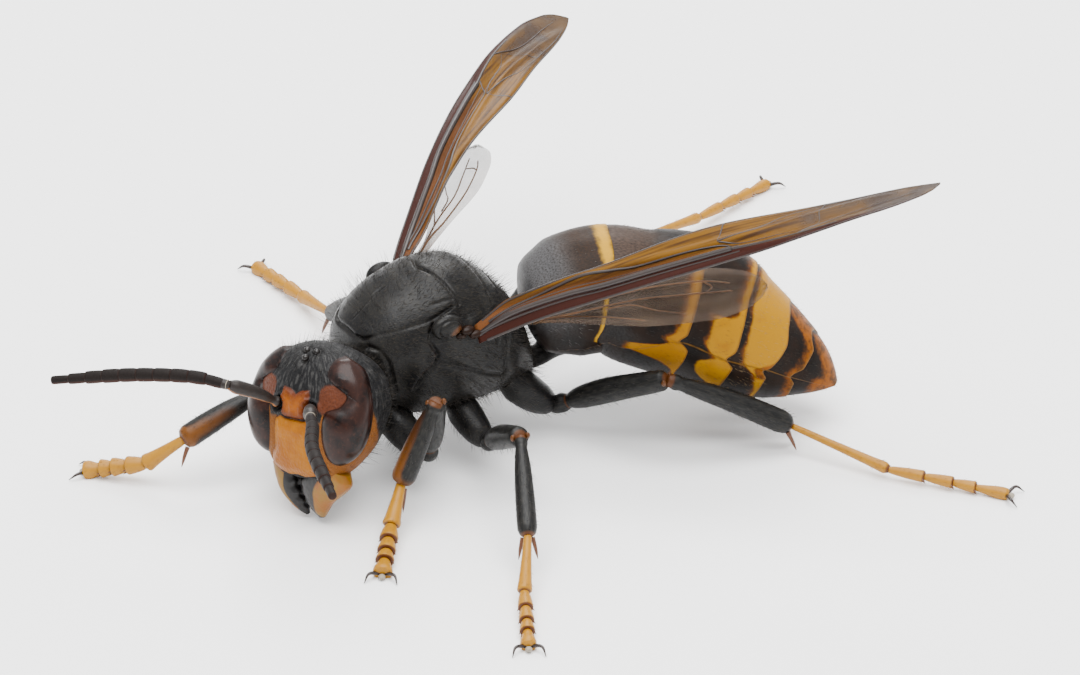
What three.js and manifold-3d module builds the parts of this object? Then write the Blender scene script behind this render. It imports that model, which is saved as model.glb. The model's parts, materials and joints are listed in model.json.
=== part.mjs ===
// Yellow-legged hornet, a life-size still model standing on its six feet.
// Millimetres, +Z up, head towards -Y, the hornet's left side towards +X, floor at Z = 0.

import * as THREE from "three";
import { mergeVertices } from "three/addons/utils/BufferGeometryUtils.js";
import Module from "manifold-3d";

const wasm = await Module();
wasm.setup();

// Space between neighbouring solids, and the wider groove between the parts of the middle body
const gap = 0.06;
const grooveGap = 0.08;

// Wing thickness, height of the raised veins, and the claws and spurs
const membrane = 0.5;
const veinRise = 0.12;
const clawLength = 0.62;
const clawRadius = 0.1;
const spurRadius = 0.09;
const spurLength = 0.62;
const kneeRise = 0.12;

// Head, in its own frame: x to its left, y backwards, z up
const headCentre = vec(1.22, -4.93, 3.92);
const headTurn = { yaw: 20.8, pitch: -8.2, roll: -8.8 };
const headHalfWidth = 2.35;
const eyeCentre = vec(1.6, -0.52, 0.2);
const eyeSize = vec(0.72, 1.1, 1.78);
const eyeTurn = { yaw: -32, lean: -17 };
const notchCentre = vec(0.98, -1.42, 0.62);
const notchRadius = 0.6;
const socket = vec(0.69, -1.6, 0.31);
const faceShield = { centre: vec(0, -1.36, -1.2), size: vec(1.05, 0.5, 1.1) };
const ocelli = [vec(0, -0.75, 1.86), vec(0.21, -0.4, 1.98), vec(-0.21, -0.4, 1.98)];
const ocellusRadius = 0.13;
const jawPath = [vec(1.12, -0.72, -2.0), vec(0.84, -0.82, -2.72), vec(0.56, -0.8, -3.32), vec(0.26, -0.7, -3.85)];
const jawBroad = [[0, 0.5], [0.2, 0.64], [0.6, 0.5], [0.85, 0.3], [1, 0.14]];
const jawThick = [[0, 0.5], [0.3, 0.42], [0.7, 0.32], [1, 0.1]];

// Head from chin to crown: height, half width, reach forwards and reach backwards
const headLevels = [
  [-2.25, 1.3, 1.5, 0.35],
  [-1.9, 1.65, 1.62, 0.85],
  [-1.4, 1.95, 1.68, 1.4],
  [-0.7, 2.22, 1.66, 1.75],
  [0.0, headHalfWidth, 1.58, 1.9],
  [0.7, 2.3, 1.4, 1.85],
  [1.3, 2.0, 1.15, 1.55],
  [1.75, 1.45, 0.82, 1.1],
  [2.02, 0.8, 0.4, 0.65],
];
const headPower = 2.5;
const headRoomScale = vec(1.05, 1.08, 1.05);

// Feelers: the elbow and three places along the lash, for each side
const feelers = {
  left: {
    elbow: vec(3.95, -6.96, 5.36),
    lash: [vec(4.8, -7.36, 5.49), vec(6.44, -8.3, 5.75), vec(9.86, -9.5, 6.03)],
  },
  right: {
    elbow: vec(0.78, -8.31, 5.43),
    lash: [vec(-0.21, -9.07, 5.49), vec(-1.83, -10.56, 5.25), vec(-3.93, -12.68, 4.66)],
  },
};
const feelerRadius = 0.25;
const scapeProfile = [[0, 0.68], [0.15, 0.8], [0.7, 1], [1, 0.8]];
const lashProfile = [[0, 0.6], [0.06, 0.8], [0.15, 1], [0.85, 1], [1, 0.48]];

// Middle body: place along Y, half width, top and bottom
const trunk = [
  [-3.36, 0.9, 5.2, 4.0],
  [-3.14, 1.35, 5.95, 3.5],
  [-2.7, 1.78, 6.3, 2.95],
  [-1.98, 2.08, 6.8, 2.4],
  [-1.1, 2.3, 7.13, 2.1],
  [0.0, 2.42, 7.36, 2.0],
  [1.0, 2.36, 7.25, 1.95],
  [1.8, 2.2, 6.85, 1.95],
  [2.5, 1.95, 6.2, 1.95],
  [3.1, 1.6, 5.3, 1.95],
  [3.6, 1.15, 4.2, 1.9],
  [3.95, 0.7, 3.1, 1.85],
];
const trunkCuts = { pronotum: -2.2, scutellum: 1.55, propodeum: 2.55 };
const trunkPower = 2.35;
const tegulaCentre = vec(2.25, -0.5, 6.1);
const tegulaSize = vec(0.35, 0.62, 0.45);

// Hind body: the line it follows, its radius along that line, where its segments end, and its stalk
const tailLine = [
  vec(0.27, 3.86, 4.42), vec(1.1, 6.5, 4.9), vec(1.8, 7.7, 4.55), vec(2.75, 9.15, 4.13),
  vec(3.75, 10.48, 3.15), vec(4.58, 11.66, 2.45), vec(5.28, 12.49, 1.96), vec(6.02, 13.28, 1.42),
];
const tailRadius = [
  [0, 1.25], [0.03, 1.72], [0.09, 2.08], [0.13, 2.26], [0.26, 2.38], [0.42, 2.62], [0.51, 2.72], [0.61, 2.62],
  [0.71, 2.28], [0.81, 1.8], [0.88, 1.32], [0.94, 0.85], [1, 0.25],
];
const tailEnds = [0, 0.24, 0.49, 0.635, 0.78, 0.88, 1];
const tailGroove = 0.004;
const tailSteps = 22;
const stalk = [vec(0.15, 4.2, 2.3), vec(0.4, 4.75, 2.75), vec(0.6, 5.3, 3.6)];
const stalkRadius = [[0, 0.42], [0.4, 0.6], [1, 1.2]];

// Wings: root and tip, twist in degrees at both, and how far the blade bows away from a straight line
const wings = {
  left: {
    side: 1,
    root: vec(2.55, 0.5, 5.65),
    tip: vec(11.57, 13.45, 11.96),
    tilt: [40, -24],
    bow: vec(-0.27, -0.43, 0.25),
    skew: 1,
    hindTip: vec(7.9, 8.96, 7.57),
    hindTilt: [35, 35],
  },
  right: {
    side: -1,
    root: vec(-2.5, 0.4, 5.95),
    tip: vec(-11.86, 13.29, 8.45),
    tilt: [20, -26],
    bow: vec(-0.7, -0.04, 1.0),
    skew: 0.81,
    hindTip: vec(-8.05, 7.0, 6.5),
    hindTilt: [20, 10],
  },
};

// Reach of each blade ahead of its middle line and behind it, and where its veins run across it
const foreLead = [
  [0, 0.35], [0.1, 0.35], [0.3, 0.57], [0.55, 0.91], [0.75, 1.1], [0.88, 1.05], [0.96, 0.77], [1, 0.2],
];
const foreTrail = [
  [0, 0.3], [0.1, 0.75], [0.3, 0.72], [0.55, 0.97], [0.75, 0.68], [0.88, 0.52], [0.96, 0.29], [1, 0.1],
];
const foreVeins = [
  { at: -0.75, rise: veinRise },
  { at: -0.45, rise: 0 },
  { at: 0.05, rise: veinRise },
  { at: 0.4, rise: 0 },
  { at: 0.7, rise: veinRise },
];
const hindLead = [
  [0, 0.15], [0.16, 0.15], [0.39, 0.5], [0.59, 0.84], [0.8, 0.92], [0.9, 0.75], [0.97, 0.4], [1, 0.15],
];
const hindTrail = [[0, 0.2], [0.3, 0.65], [0.6, 1.05], [0.8, 0.95], [0.92, 0.7], [0.98, 0.35], [1, 0.15]];
const hindVeins = [
  { at: 0.05, rise: veinRise },
  { at: 0.5, rise: veinRise },
  { at: 0.78, rise: 0 },
];
const hindDrop = vec(0, 0.7, 0.1);
const bladeThinning = [[0, 1], [0.85, 1], [1, 0.5]];

// Legs: hip, ring joint, knee, ankle, end of the first foot joint, and foot
const legs = {
  fore_left: {
    build: "fore",
    joints: [
      vec(1.1, -2.35, 2.75), vec(2.62, -1.55, 1.41), vec(4.06, -2.07, 4.46),
      vec(3.89, -3.4, 1.56), vec(4.89, -4.41, 0.66), vec(6.74, -5.86, 0.17),
    ],
  },
  fore_right: {
    build: "fore",
    joints: [
      vec(-1.0, -2.45, 2.75), vec(-2.66, -2.62, 1.33), vec(-2.0, -5.58, 2.93),
      vec(-2.3, -8.57, 1.79), vec(-3.08, -9.65, 0.78), vec(-4.7, -11.19, 0.17),
    ],
  },
  mid_left: {
    build: "mid",
    joints: [
      vec(1.25, 0.4, 2.45), vec(2.89, 0.68, 1.39), vec(6.1, 0.07, 3.43),
      vec(9.04, -1.46, 1.46), vec(10.78, -2.68, 0.53), vec(13.25, -4.05, 0.17),
    ],
  },
  mid_right: {
    build: "mid",
    joints: [
      vec(-1.25, 0.4, 2.45), vec(-3.0, 0.05, 1.5), vec(-5.8, 0.55, 3.0),
      vec(-8.55, 1.05, 1.0), vec(-11.2, 1.3, 0.44), vec(-14.44, 1.2, 0.17),
    ],
  },
  hind_left: {
    build: "hind",
    joints: [
      vec(1.1, 2.6, 2.6), vec(1.55, 4.2, 1.14), vec(5.19, 6.68, 3.23),
      vec(6.95, 10.76, 0.98), vec(10.52, 12.51, 0.42), vec(13.77, 15.3, 0.17),
    ],
  },
  hind_right: {
    build: "hind",
    joints: [
      vec(-1.1, 2.6, 2.6), vec(-2.49, 4.4, 1.9), vec(-5.02, 8.69, 2.94),
      vec(-7.06, 13.23, 1.26), vec(-8.33, 16.99, 0.57), vec(-9.83, 21.1, 0.17),
    ],
  },
};
const legSizes = {
  fore: { coxa: 0.62, thigh: 0.45, shin: 0.43, toes: 0.32 },
  mid: { coxa: 0.6, thigh: 0.44, shin: 0.34, toes: 0.26 },
  hind: { coxa: 0.66, thigh: 0.46, shin: 0.41, toes: 0.22 },
};

// Thickness along each leg joint, as shares of the sizes above; the foot narrows between its joints
const coxaProfile = [[0, 0.75], [0.3, 1], [0.7, 0.85], [1, 0.55]];
const thighProfile = [
  [0, 0.6], [0.08, 0.75], [0.16, 0.62], [0.24, 0.8], [0.45, 1], [0.8, 0.88], [0.93, 0.82], [1, 0.5],
];
const shinProfile = [[0, 0.5], [0.06, 0.75], [0.15, 0.72], [0.6, 0.95], [0.88, 1], [1, 0.75]];
const footProfile = [
  [0, 0.55], [0.05, 0.8], [0.42, 0.92], [0.46, 0.7], [0.58, 1], [0.6, 0.7],
  [0.7, 1], [0.72, 0.7], [0.8, 1], [0.82, 0.6], [0.95, 0.8], [1, 0.5],
];
const clawProfile = [[0, 1], [0.6, 0.8], [1, 0.4]];
const spurProfile = [[0, 1.2], [1, 0.5]];

// Materials
const finishes = {
  shell: { color: 0x1c1916, roughness: 0.55 },
  face: { color: 0xc4661c, roughness: 0.45 },
  eye: { color: 0x2b1310, roughness: 0.15 },
  feeler: { color: 0x3a2a22, roughness: 0.5 },
  band: { color: 0x4a3018, roughness: 0.4 },
  wing: { color: 0x7a4a1e, roughness: 0.3 },
  limb: { color: 0x221d19, roughness: 0.5 },
  foot: { color: 0xe0a020, roughness: 0.45 },
};

function vec(x, y, z) {
  return new THREE.Vector3(x, y, z);
}

// The value at t of a row of [place, value] pairs
function along(pairs, t) {
  let last = pairs[0];
  for (const pair of pairs) {
    if (t <= pair[0]) {
      const share = pair[0] === last[0] ? 0 : (t - last[0]) / (pair[0] - last[0]);
      return last[1] + (pair[1] - last[1]) * share;
    }
    last = pair;
  }
  return last[1];
}

// Solids

function toSolid(positions, triangles) {
  const geometry = new THREE.BufferGeometry();
  geometry.setAttribute("position", new THREE.Float32BufferAttribute(positions, 3));
  geometry.setIndex(triangles);
  const welded = mergeVertices(geometry, 1e-4);
  let solid = makeManifold(welded.attributes.position.array, welded.index.array);
  if (solid.volume() < 0) {
    const flipped = Uint32Array.from(welded.index.array);
    for (let i = 0; i < flipped.length; i += 3) {
      [flipped[i], flipped[i + 1]] = [flipped[i + 1], flipped[i]];
    }
    solid = makeManifold(welded.attributes.position.array, flipped);
  }
  return solid;
}

function makeManifold(positions, triangles) {
  return new wasm.Manifold(new wasm.Mesh({
    numProp: 3,
    vertProperties: Float32Array.from(positions),
    triVerts: Uint32Array.from(triangles),
  }));
}

// A closed body through rings of { centre, side, top, wide, high }, with a point at each end
function loft(rings, sides, power = 2) {
  const positions = [];
  const triangles = [];
  for (const ring of rings) {
    for (let i = 0; i < sides; i += 1) {
      const angle = (2 * Math.PI * i) / sides;
      const c = Math.cos(angle);
      const s = Math.sin(angle);
      const x = Math.sign(c) * Math.abs(c) ** (2 / power) * ring.wide;
      const z = Math.sign(s) * Math.abs(s) ** (2 / power) * ring.high;
      const point = ring.centre.clone().addScaledVector(ring.side, x).addScaledVector(ring.top, z);
      positions.push(point.x, point.y, point.z);
    }
  }
  for (let r = 0; r + 1 < rings.length; r += 1) {
    for (let i = 0; i < sides; i += 1) {
      const a = r * sides + i;
      const b = r * sides + ((i + 1) % sides);
      triangles.push(a, b, a + sides, b, b + sides, a + sides);
    }
  }
  const ends = [[0, rings[0]], [(rings.length - 1) * sides, rings.at(-1)]];
  ends.forEach(([start, ring], last) => {
    const pole = positions.length / 3;
    positions.push(ring.centre.x, ring.centre.y, ring.centre.z);
    for (let i = 0; i < sides; i += 1) {
      const a = start + i;
      const b = start + ((i + 1) % sides);
      triangles.push(...(last ? [a, b, pole] : [b, a, pole]));
    }
  });
  return toSolid(positions, triangles);
}

// A round or oval limb along a curve through points; size(t) gives its half width and half height
function limb(points, size, options) {
  const { sides, steps, up = vec(0, 0, 1), grow = 0, from = 0, to = 1 } = options;
  const curve = new THREE.CatmullRomCurve3(points, false, "centripetal");
  const rings = [];
  for (let i = 0; i <= steps; i += 1) {
    const t = from + ((to - from) * i) / steps;
    const run = curve.getTangentAt(t);
    const side = new THREE.Vector3().crossVectors(run, up).normalize();
    const top = new THREE.Vector3().crossVectors(side, run).normalize();
    const [wide, high] = size(t);
    const centre = curve.getPointAt(t);
    if (i === 0) {
      centre.addScaledVector(run, -grow);
    }
    if (i === steps) {
      centre.addScaledVector(run, grow);
    }
    rings.push({ centre, side, top, wide: wide + grow, high: high + grow });
  }
  return loft(rings, sides);
}

function round(pairs, scale = 1) {
  return (t) => [along(pairs, t) * scale, along(pairs, t) * scale];
}

function ball(centre, size, { wide = 14, tall = 10, grow = 0, turn = null } = {}) {
  const geometry = new THREE.SphereGeometry(1, wide, tall);
  geometry.scale(size.x + grow, size.y + grow, size.z + grow);
  if (turn) {
    geometry.applyMatrix4(turn);
  }
  geometry.translate(centre.x, centre.y, centre.z);
  geometry.deleteAttribute("normal");
  geometry.deleteAttribute("uv");
  const welded = mergeVertices(geometry, 1e-4);
  return toSolid(welded.attributes.position.array, Array.from(welded.index.array));
}

function box(low, high) {
  const size = high.clone().sub(low);
  const geometry = new THREE.BoxGeometry(size.x, size.y, size.z);
  geometry.translate(low.x + size.x / 2, low.y + size.y / 2, low.z + size.z / 2);
  geometry.deleteAttribute("normal");
  geometry.deleteAttribute("uv");
  const welded = mergeVertices(geometry, 1e-4);
  return toSolid(welded.attributes.position.array, Array.from(welded.index.array));
}

// The largest closed piece of a solid
function largest(solid) {
  return solid.decompose().reduce((best, piece) => (piece.volume() > best.volume() ? piece : best));
}

function placed(solid, matrix) {
  const mesh = solid.getMesh();
  const moved = new THREE.BufferAttribute(Float32Array.from(mesh.vertProperties), 3).applyMatrix4(matrix);
  return toSolid(moved.array, Array.from(mesh.triVerts));
}

const hornet = new THREE.Group();

function addNode(name, solid, finish) {
  const mesh = largest(solid).getMesh();
  let geometry = new THREE.BufferGeometry();
  geometry.setAttribute("position", new THREE.BufferAttribute(Float32Array.from(mesh.vertProperties), 3));
  geometry.setIndex(Array.from(mesh.triVerts));
  geometry = mergeVertices(geometry, 1e-4);
  geometry.computeVertexNormals();
  const node = new THREE.Mesh(geometry, new THREE.MeshStandardMaterial({ ...finishes[finish], metalness: 0 }));
  node.name = name;
  hornet.add(node);
}

// Head

const headMatrix = new THREE.Matrix4()
  .makeTranslation(headCentre.x, headCentre.y, headCentre.z)
  .multiply(new THREE.Matrix4().makeRotationZ(THREE.MathUtils.degToRad(headTurn.yaw)))
  .multiply(new THREE.Matrix4().makeRotationX(THREE.MathUtils.degToRad(headTurn.pitch)))
  .multiply(new THREE.Matrix4().makeRotationY(THREE.MathUtils.degToRad(headTurn.roll)));

function inHead(point) {
  return point.clone().applyMatrix4(headMatrix);
}

function mirrored(point, side) {
  return vec(point.x * side, point.y, point.z);
}

function headCapsule() {
  const rings = headLevels.map(([z, wide, front, back]) => ({
    centre: vec(0, (back - front) / 2, z),
    side: vec(1, 0, 0),
    top: vec(0, -1, 0),
    wide,
    high: (back + front) / 2,
  }));
  let whole = loft(rings, 24, headPower).add(ball(faceShield.centre, faceShield.size, { wide: 16, tall: 10 }));
  for (const place of ocelli) {
    whole = whole.add(ball(place, vec(1, 1, 1).multiplyScalar(ocellusRadius), { wide: 8, tall: 6 }));
  }
  return whole;
}

function eyeSolid(side, grow) {
  const turn = new THREE.Matrix4().makeRotationZ(THREE.MathUtils.degToRad(eyeTurn.yaw * side))
    .premultiply(new THREE.Matrix4().makeRotationX(THREE.MathUtils.degToRad(eyeTurn.lean)));
  const whole = ball(mirrored(eyeCentre, side), eyeSize, { wide: 18, tall: 14, grow, turn });
  const notchSize = vec(1, 1, 1).multiplyScalar(notchRadius - grow);
  return whole.subtract(ball(mirrored(notchCentre, side), notchSize, { wide: 10, tall: 8 }));
}

function jawSolid(side, grow) {
  const path = jawPath.map((point) => mirrored(point, side));
  const size = (t) => [along(jawBroad, t), along(jawThick, t)];
  const jaw = limb(path, size, { sides: 10, steps: 7, up: vec(0, -1, 0), grow });
  const halfSpace = side > 0
    ? box(vec(grow ? -0.1 : gap / 2, -5, -5), vec(5, 5, 0))
    : box(vec(-5, -5, -5), vec(grow ? 0.1 : -gap / 2, 5, 0));
  return jaw.intersect(halfSpace);
}

let headSolid = headCapsule();
for (const side of [1, -1]) {
  headSolid = headSolid.subtract(eyeSolid(side, gap)).subtract(jawSolid(side, gap));
}

function scapeSolid(side, grow) {
  const start = inHead(mirrored(socket, side));
  const elbow = feelers[side > 0 ? "left" : "right"].elbow;
  const middle = start.clone().lerp(elbow, 0.5).add(vec(0, 0, 0.08));
  return limb([start, middle, elbow], round(scapeProfile, feelerRadius), { sides: 10, steps: 6, grow });
}

let headPlaced = placed(headSolid, headMatrix);
for (const side of [1, -1]) {
  headPlaced = headPlaced.subtract(scapeSolid(side, gap));
}
addNode("head", headPlaced, "face");

for (const [name, side] of [["left", 1], ["right", -1]]) {
  addNode(`eye_${name}`, placed(eyeSolid(side, 0), headMatrix), "eye");
  addNode(`mandible_${name}`, placed(jawSolid(side, 0), headMatrix), "face");
  addNode(`scape_${name}`, scapeSolid(side, 0), "feeler");
  const { elbow, lash } = feelers[name];
  const run = lash[0].clone().sub(elbow).normalize();
  const start = elbow.clone().addScaledVector(run, gap);
  const lashSolid = limb([start, ...lash], round(lashProfile, feelerRadius), { sides: 10, steps: 14 });
  addNode(`flagellum_${name}`, lashSolid.subtract(scapeSolid(side, gap)), "feeler");
}

// Middle body

function trunkSolid(grow) {
  const rings = trunk.map(([y, wide, top, bottom], index) => {
    const shift = index === 0 ? -grow : index === trunk.length - 1 ? grow : 0;
    return {
      centre: vec(0, y + shift, (top + bottom) / 2),
      side: vec(1, 0, 0),
      top: vec(0, 0, 1),
      wide: wide + grow,
      high: (top - bottom) / 2 + grow,
    };
  });
  return loft(rings, 28, trunkPower);
}

function tegulaSolid(side, grow) {
  return ball(mirrored(tegulaCentre, side), tegulaSize, { wide: 12, tall: 8, grow });
}

function legRun(name) {
  const { joints, build } = legs[name];
  const [hip, ring, knee, ankle, heel, foot] = joints;
  return { hip, ring, knee, ankle, heel, foot, ...legSizes[build] };
}

function coxaSolid(leg, grow) {
  const middle = leg.hip.clone().lerp(leg.ring, 0.5);
  return limb([leg.hip, middle, leg.ring], round(coxaProfile, leg.coxa), { sides: 12, steps: 5, grow });
}

function thighSolid(leg, grow) {
  const middle = leg.ring.clone().lerp(leg.knee, 0.45).add(vec(0, 0, kneeRise));
  return limb([leg.ring, middle, leg.knee], round(thighProfile, leg.thigh), { sides: 12, steps: 10, grow });
}

function shinSolid(leg, grow) {
  const middle = leg.knee.clone().lerp(leg.ankle, 0.5);
  let shin = limb([leg.knee, middle, leg.ankle], round(shinProfile, leg.shin), { sides: 12, steps: 9, grow });
  if (!grow) {
    for (const side of [-1, 1]) {
      shin = shin.add(spurSolid(leg, side));
    }
  }
  return shin;
}

function spurSolid(leg, side) {
  const run = leg.ankle.clone().sub(leg.knee).normalize();
  const across = new THREE.Vector3().crossVectors(run, vec(0, 0, 1)).normalize();
  const root = leg.knee.clone().lerp(leg.ankle, 0.94).addScaledVector(across, side * leg.shin * 0.55);
  root.z -= 0.08;
  const tip = root.clone().addScaledVector(run, spurLength).addScaledVector(across, side * spurLength * 0.5);
  tip.z -= spurLength * 0.3;
  return limb([root, root.clone().lerp(tip, 0.5), tip], round(spurProfile, spurRadius), { sides: 6, steps: 2 });
}

function clawSolid(leg, side) {
  const run = leg.foot.clone().sub(leg.heel).setZ(0).normalize();
  const across = vec(-run.y, run.x, 0).multiplyScalar(side);
  const root = leg.foot.clone().addScaledVector(run, -0.12).addScaledVector(across, 0.05);
  const bend = root.clone().addScaledVector(run, clawLength * 0.42).addScaledVector(across, clawLength * 0.42);
  bend.z += 0.12;
  const tip = root.clone().addScaledVector(run, clawLength * 0.62).addScaledVector(across, clawLength * 0.85);
  tip.z -= 0.08;
  return limb([root, bend, tip], round(clawProfile, clawRadius), { sides: 6, steps: 4 });
}

function footSolid(leg) {
  const path = [
    leg.ankle, leg.ankle.clone().lerp(leg.heel, 0.5), leg.heel, leg.heel.clone().lerp(leg.foot, 0.5), leg.foot,
  ];
  let foot = limb(path, round(footProfile, leg.toes), { sides: 8, steps: 24 });
  for (const side of [-1, 1]) {
    foot = foot.add(clawSolid(leg, side));
  }
  const underFloor = box(vec(-30, -30, -5), vec(30, 30, 0));
  return foot.subtract(shinSolid(leg, gap)).subtract(underFloor);
}

let trunkWhole = trunkSolid(0);
for (const name of Object.keys(legs)) {
  trunkWhole = trunkWhole.subtract(coxaSolid(legRun(name), gap));
}
for (const side of [1, -1]) {
  trunkWhole = trunkWhole.subtract(tegulaSolid(side, gap));
}
const headRoom = headMatrix.clone().scale(headRoomScale);
trunkWhole = trunkWhole.subtract(placed(headCapsule(), headRoom));

function trunkSlice(from, to) {
  return trunkWhole.intersect(box(vec(-5, from + grooveGap / 2, -1), vec(5, to - grooveGap / 2, 12)));
}

addNode("pronotum", trunkSlice(-8, trunkCuts.pronotum), "shell");
addNode("mesothorax", trunkSlice(trunkCuts.pronotum, trunkCuts.scutellum), "shell");
addNode("scutellum", trunkSlice(trunkCuts.scutellum, trunkCuts.propodeum), "shell");
addNode("propodeum", trunkSlice(trunkCuts.propodeum, 8), "shell");
for (const [name, side] of [["left", 1], ["right", -1]]) {
  addNode(`tegula_${name}`, tegulaSolid(side, 0), "shell");
}

// Hind body

function tailSolid(from, to) {
  const steps = Math.max(4, Math.round((to - from) * tailSteps));
  return limb(tailLine, round(tailRadius), { sides: 26, steps, from, to });
}

const grownTrunk = trunkSolid(gap);
const segments = tailEnds.length - 1;
for (let i = 0; i < segments; i += 1) {
  const from = tailEnds[i] + (i > 0 ? tailGroove : 0);
  const to = tailEnds[i + 1] - (i + 1 < segments ? tailGroove : 0);
  let segment = tailSolid(from, to);
  if (i === 0) {
    segment = segment.add(limb(stalk, round(stalkRadius), { sides: 12, steps: 4 })).subtract(grownTrunk);
  }
  addNode(`gaster_${i + 1}`, segment, "band");
}

// Wings

// A thin blade between a leading and a trailing edge, its veins raised on both faces
function blade({ root, tip, across, lead, trail, veins, steps, grow = 0, bow = vec(0, 0, 0), skew = 1, tilt }) {
  const span = tip.clone().sub(root);
  const run = span.clone().normalize();
  const flat = across.clone().addScaledVector(run, -across.dot(run)).normalize();
  const columns = [-1, ...veins.map((vein) => vein.at), 1];
  const heights = [0, ...veins.map((vein) => vein.rise), 0];
  const positions = [];
  const triangles = [];
  const count = columns.length;
  for (const face of [1, -1]) {
    for (let i = 0; i <= steps; i += 1) {
      const t = i / steps;
      const front = along(lead, t) + grow;
      const back = along(trail, t) + grow;
      const thin = along(bladeThinning, t);
      const arch = Math.sin(Math.PI * t ** skew);
      const angle = THREE.MathUtils.degToRad(tilt[0] + (tilt[1] - tilt[0]) * t);
      const chord = flat.clone().applyAxisAngle(run, angle);
      const normal = new THREE.Vector3().crossVectors(run, chord);
      columns.forEach((column, c) => {
        const offset = column < 0 ? column * front : column * back;
        const edge = Math.abs(column) === 1 ? 0.6 : 1;
        const lift = (membrane / 2) * thin * edge + heights[c] * thin + grow;
        const point = root.clone().addScaledVector(span, t).addScaledVector(chord, offset);
        point.addScaledVector(normal, face * lift).addScaledVector(bow, arch);
        positions.push(point.x, point.y, point.z);
      });
    }
  }
  const rows = steps + 1;
  const at = (face, i, c) => face * rows * count + i * count + c;
  for (let i = 0; i < steps; i += 1) {
    for (let c = 0; c + 1 < count; c += 1) {
      for (const [face, order] of [[0, [0, 1, 2, 1, 3, 2]], [1, [0, 2, 1, 1, 2, 3]]]) {
        const quad = [at(face, i, c), at(face, i + 1, c), at(face, i, c + 1), at(face, i + 1, c + 1)];
        triangles.push(...order.map((k) => quad[k]));
      }
    }
    for (const c of [0, count - 1]) {
      const quad = [at(0, i, c), at(0, i + 1, c), at(1, i, c), at(1, i + 1, c)];
      const order = c === 0 ? [0, 2, 1, 1, 2, 3] : [0, 1, 2, 1, 3, 2];
      triangles.push(...order.map((k) => quad[k]));
    }
  }
  for (const i of [0, steps]) {
    for (let c = 0; c + 1 < count; c += 1) {
      const quad = [at(0, i, c), at(0, i, c + 1), at(1, i, c), at(1, i, c + 1)];
      const order = i === 0 ? [0, 1, 2, 1, 3, 2] : [0, 2, 1, 1, 2, 3];
      triangles.push(...order.map((k) => quad[k]));
    }
  }
  return toSolid(positions, triangles);
}

function foreWing(wing, grow) {
  const tilt = wing.tilt.map((angle) => angle * wing.side);
  const edges = { lead: foreLead, trail: foreTrail, veins: foreVeins };
  return blade({ ...wing, ...edges, across: vec(-wing.side, 0, 0), tilt, steps: 18, grow });
}

function hindWing(wing) {
  const tilt = wing.hindTilt.map((angle) => angle * wing.side);
  const edges = { lead: hindLead, trail: hindTrail, veins: hindVeins };
  const root = wing.root.clone().add(hindDrop);
  return blade({ root, tip: wing.hindTip, ...edges, across: vec(-wing.side, 0, 0), tilt, steps: 14 });
}

const nearRoot = grownTrunk.add(tegulaSolid(1, gap)).add(tegulaSolid(-1, gap));
for (const [name, wing] of Object.entries(wings)) {
  addNode(`forewing_${name}`, foreWing(wing, 0).subtract(nearRoot), "wing");
  addNode(`hindwing_${name}`, hindWing(wing).subtract(foreWing(wing, gap)).subtract(nearRoot), "wing");
}

// Legs

for (const name of Object.keys(legs)) {
  const leg = legRun(name);
  addNode(`coxa_${name}`, coxaSolid(leg, 0), "limb");
  addNode(`femur_${name}`, thighSolid(leg, 0).subtract(coxaSolid(leg, gap)), "limb");
  addNode(`tibia_${name}`, shinSolid(leg, 0).subtract(thighSolid(leg, gap)), "limb");
  addNode(`tarsus_${name}`, footSolid(leg), "foot");
}

// The origin is at the middle of the bottom of the whole box
const bounds = new THREE.Box3().setFromObject(hornet);
const middle = bounds.getCenter(new THREE.Vector3());
hornet.position.set(-middle.x, -middle.y, 0);
hornet.updateMatrixWorld(true);

export default hornet;
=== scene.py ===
import json
import math

import bmesh
import bpy
import numpy as np
from mathutils import Matrix, Vector

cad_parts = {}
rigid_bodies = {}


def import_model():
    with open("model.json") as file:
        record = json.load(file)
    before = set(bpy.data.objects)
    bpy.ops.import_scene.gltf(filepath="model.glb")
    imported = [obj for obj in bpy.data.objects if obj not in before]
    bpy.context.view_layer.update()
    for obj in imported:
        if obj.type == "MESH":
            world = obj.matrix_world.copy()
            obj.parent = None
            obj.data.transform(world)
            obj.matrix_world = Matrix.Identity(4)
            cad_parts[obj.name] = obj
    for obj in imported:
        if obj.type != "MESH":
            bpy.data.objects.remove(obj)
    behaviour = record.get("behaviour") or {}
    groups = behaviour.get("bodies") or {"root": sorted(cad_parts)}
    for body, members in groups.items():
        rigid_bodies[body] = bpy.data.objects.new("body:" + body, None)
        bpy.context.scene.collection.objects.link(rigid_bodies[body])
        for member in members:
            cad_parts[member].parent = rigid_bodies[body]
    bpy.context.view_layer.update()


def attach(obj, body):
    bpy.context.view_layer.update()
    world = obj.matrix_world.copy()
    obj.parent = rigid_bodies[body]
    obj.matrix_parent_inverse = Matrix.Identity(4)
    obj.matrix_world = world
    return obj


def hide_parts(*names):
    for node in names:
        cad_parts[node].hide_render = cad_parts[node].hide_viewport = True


# Yellow-legged hornet, life size. Shapes are worked out in millimetres in the hornet's own frame,
# x to its left, y towards the tail, z up, and moved to metres in the frame's place when a mesh is made.

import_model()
print("frame loaded")

ownToFrame = np.array([0.1927, -4.405, 0.0])
metre = 0.001


# Curves and tables

def unit(vectors):
    vectors = np.asarray(vectors, float)
    return vectors / np.maximum(np.linalg.norm(vectors, axis=-1, keepdims=True), 1e-9)


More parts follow.
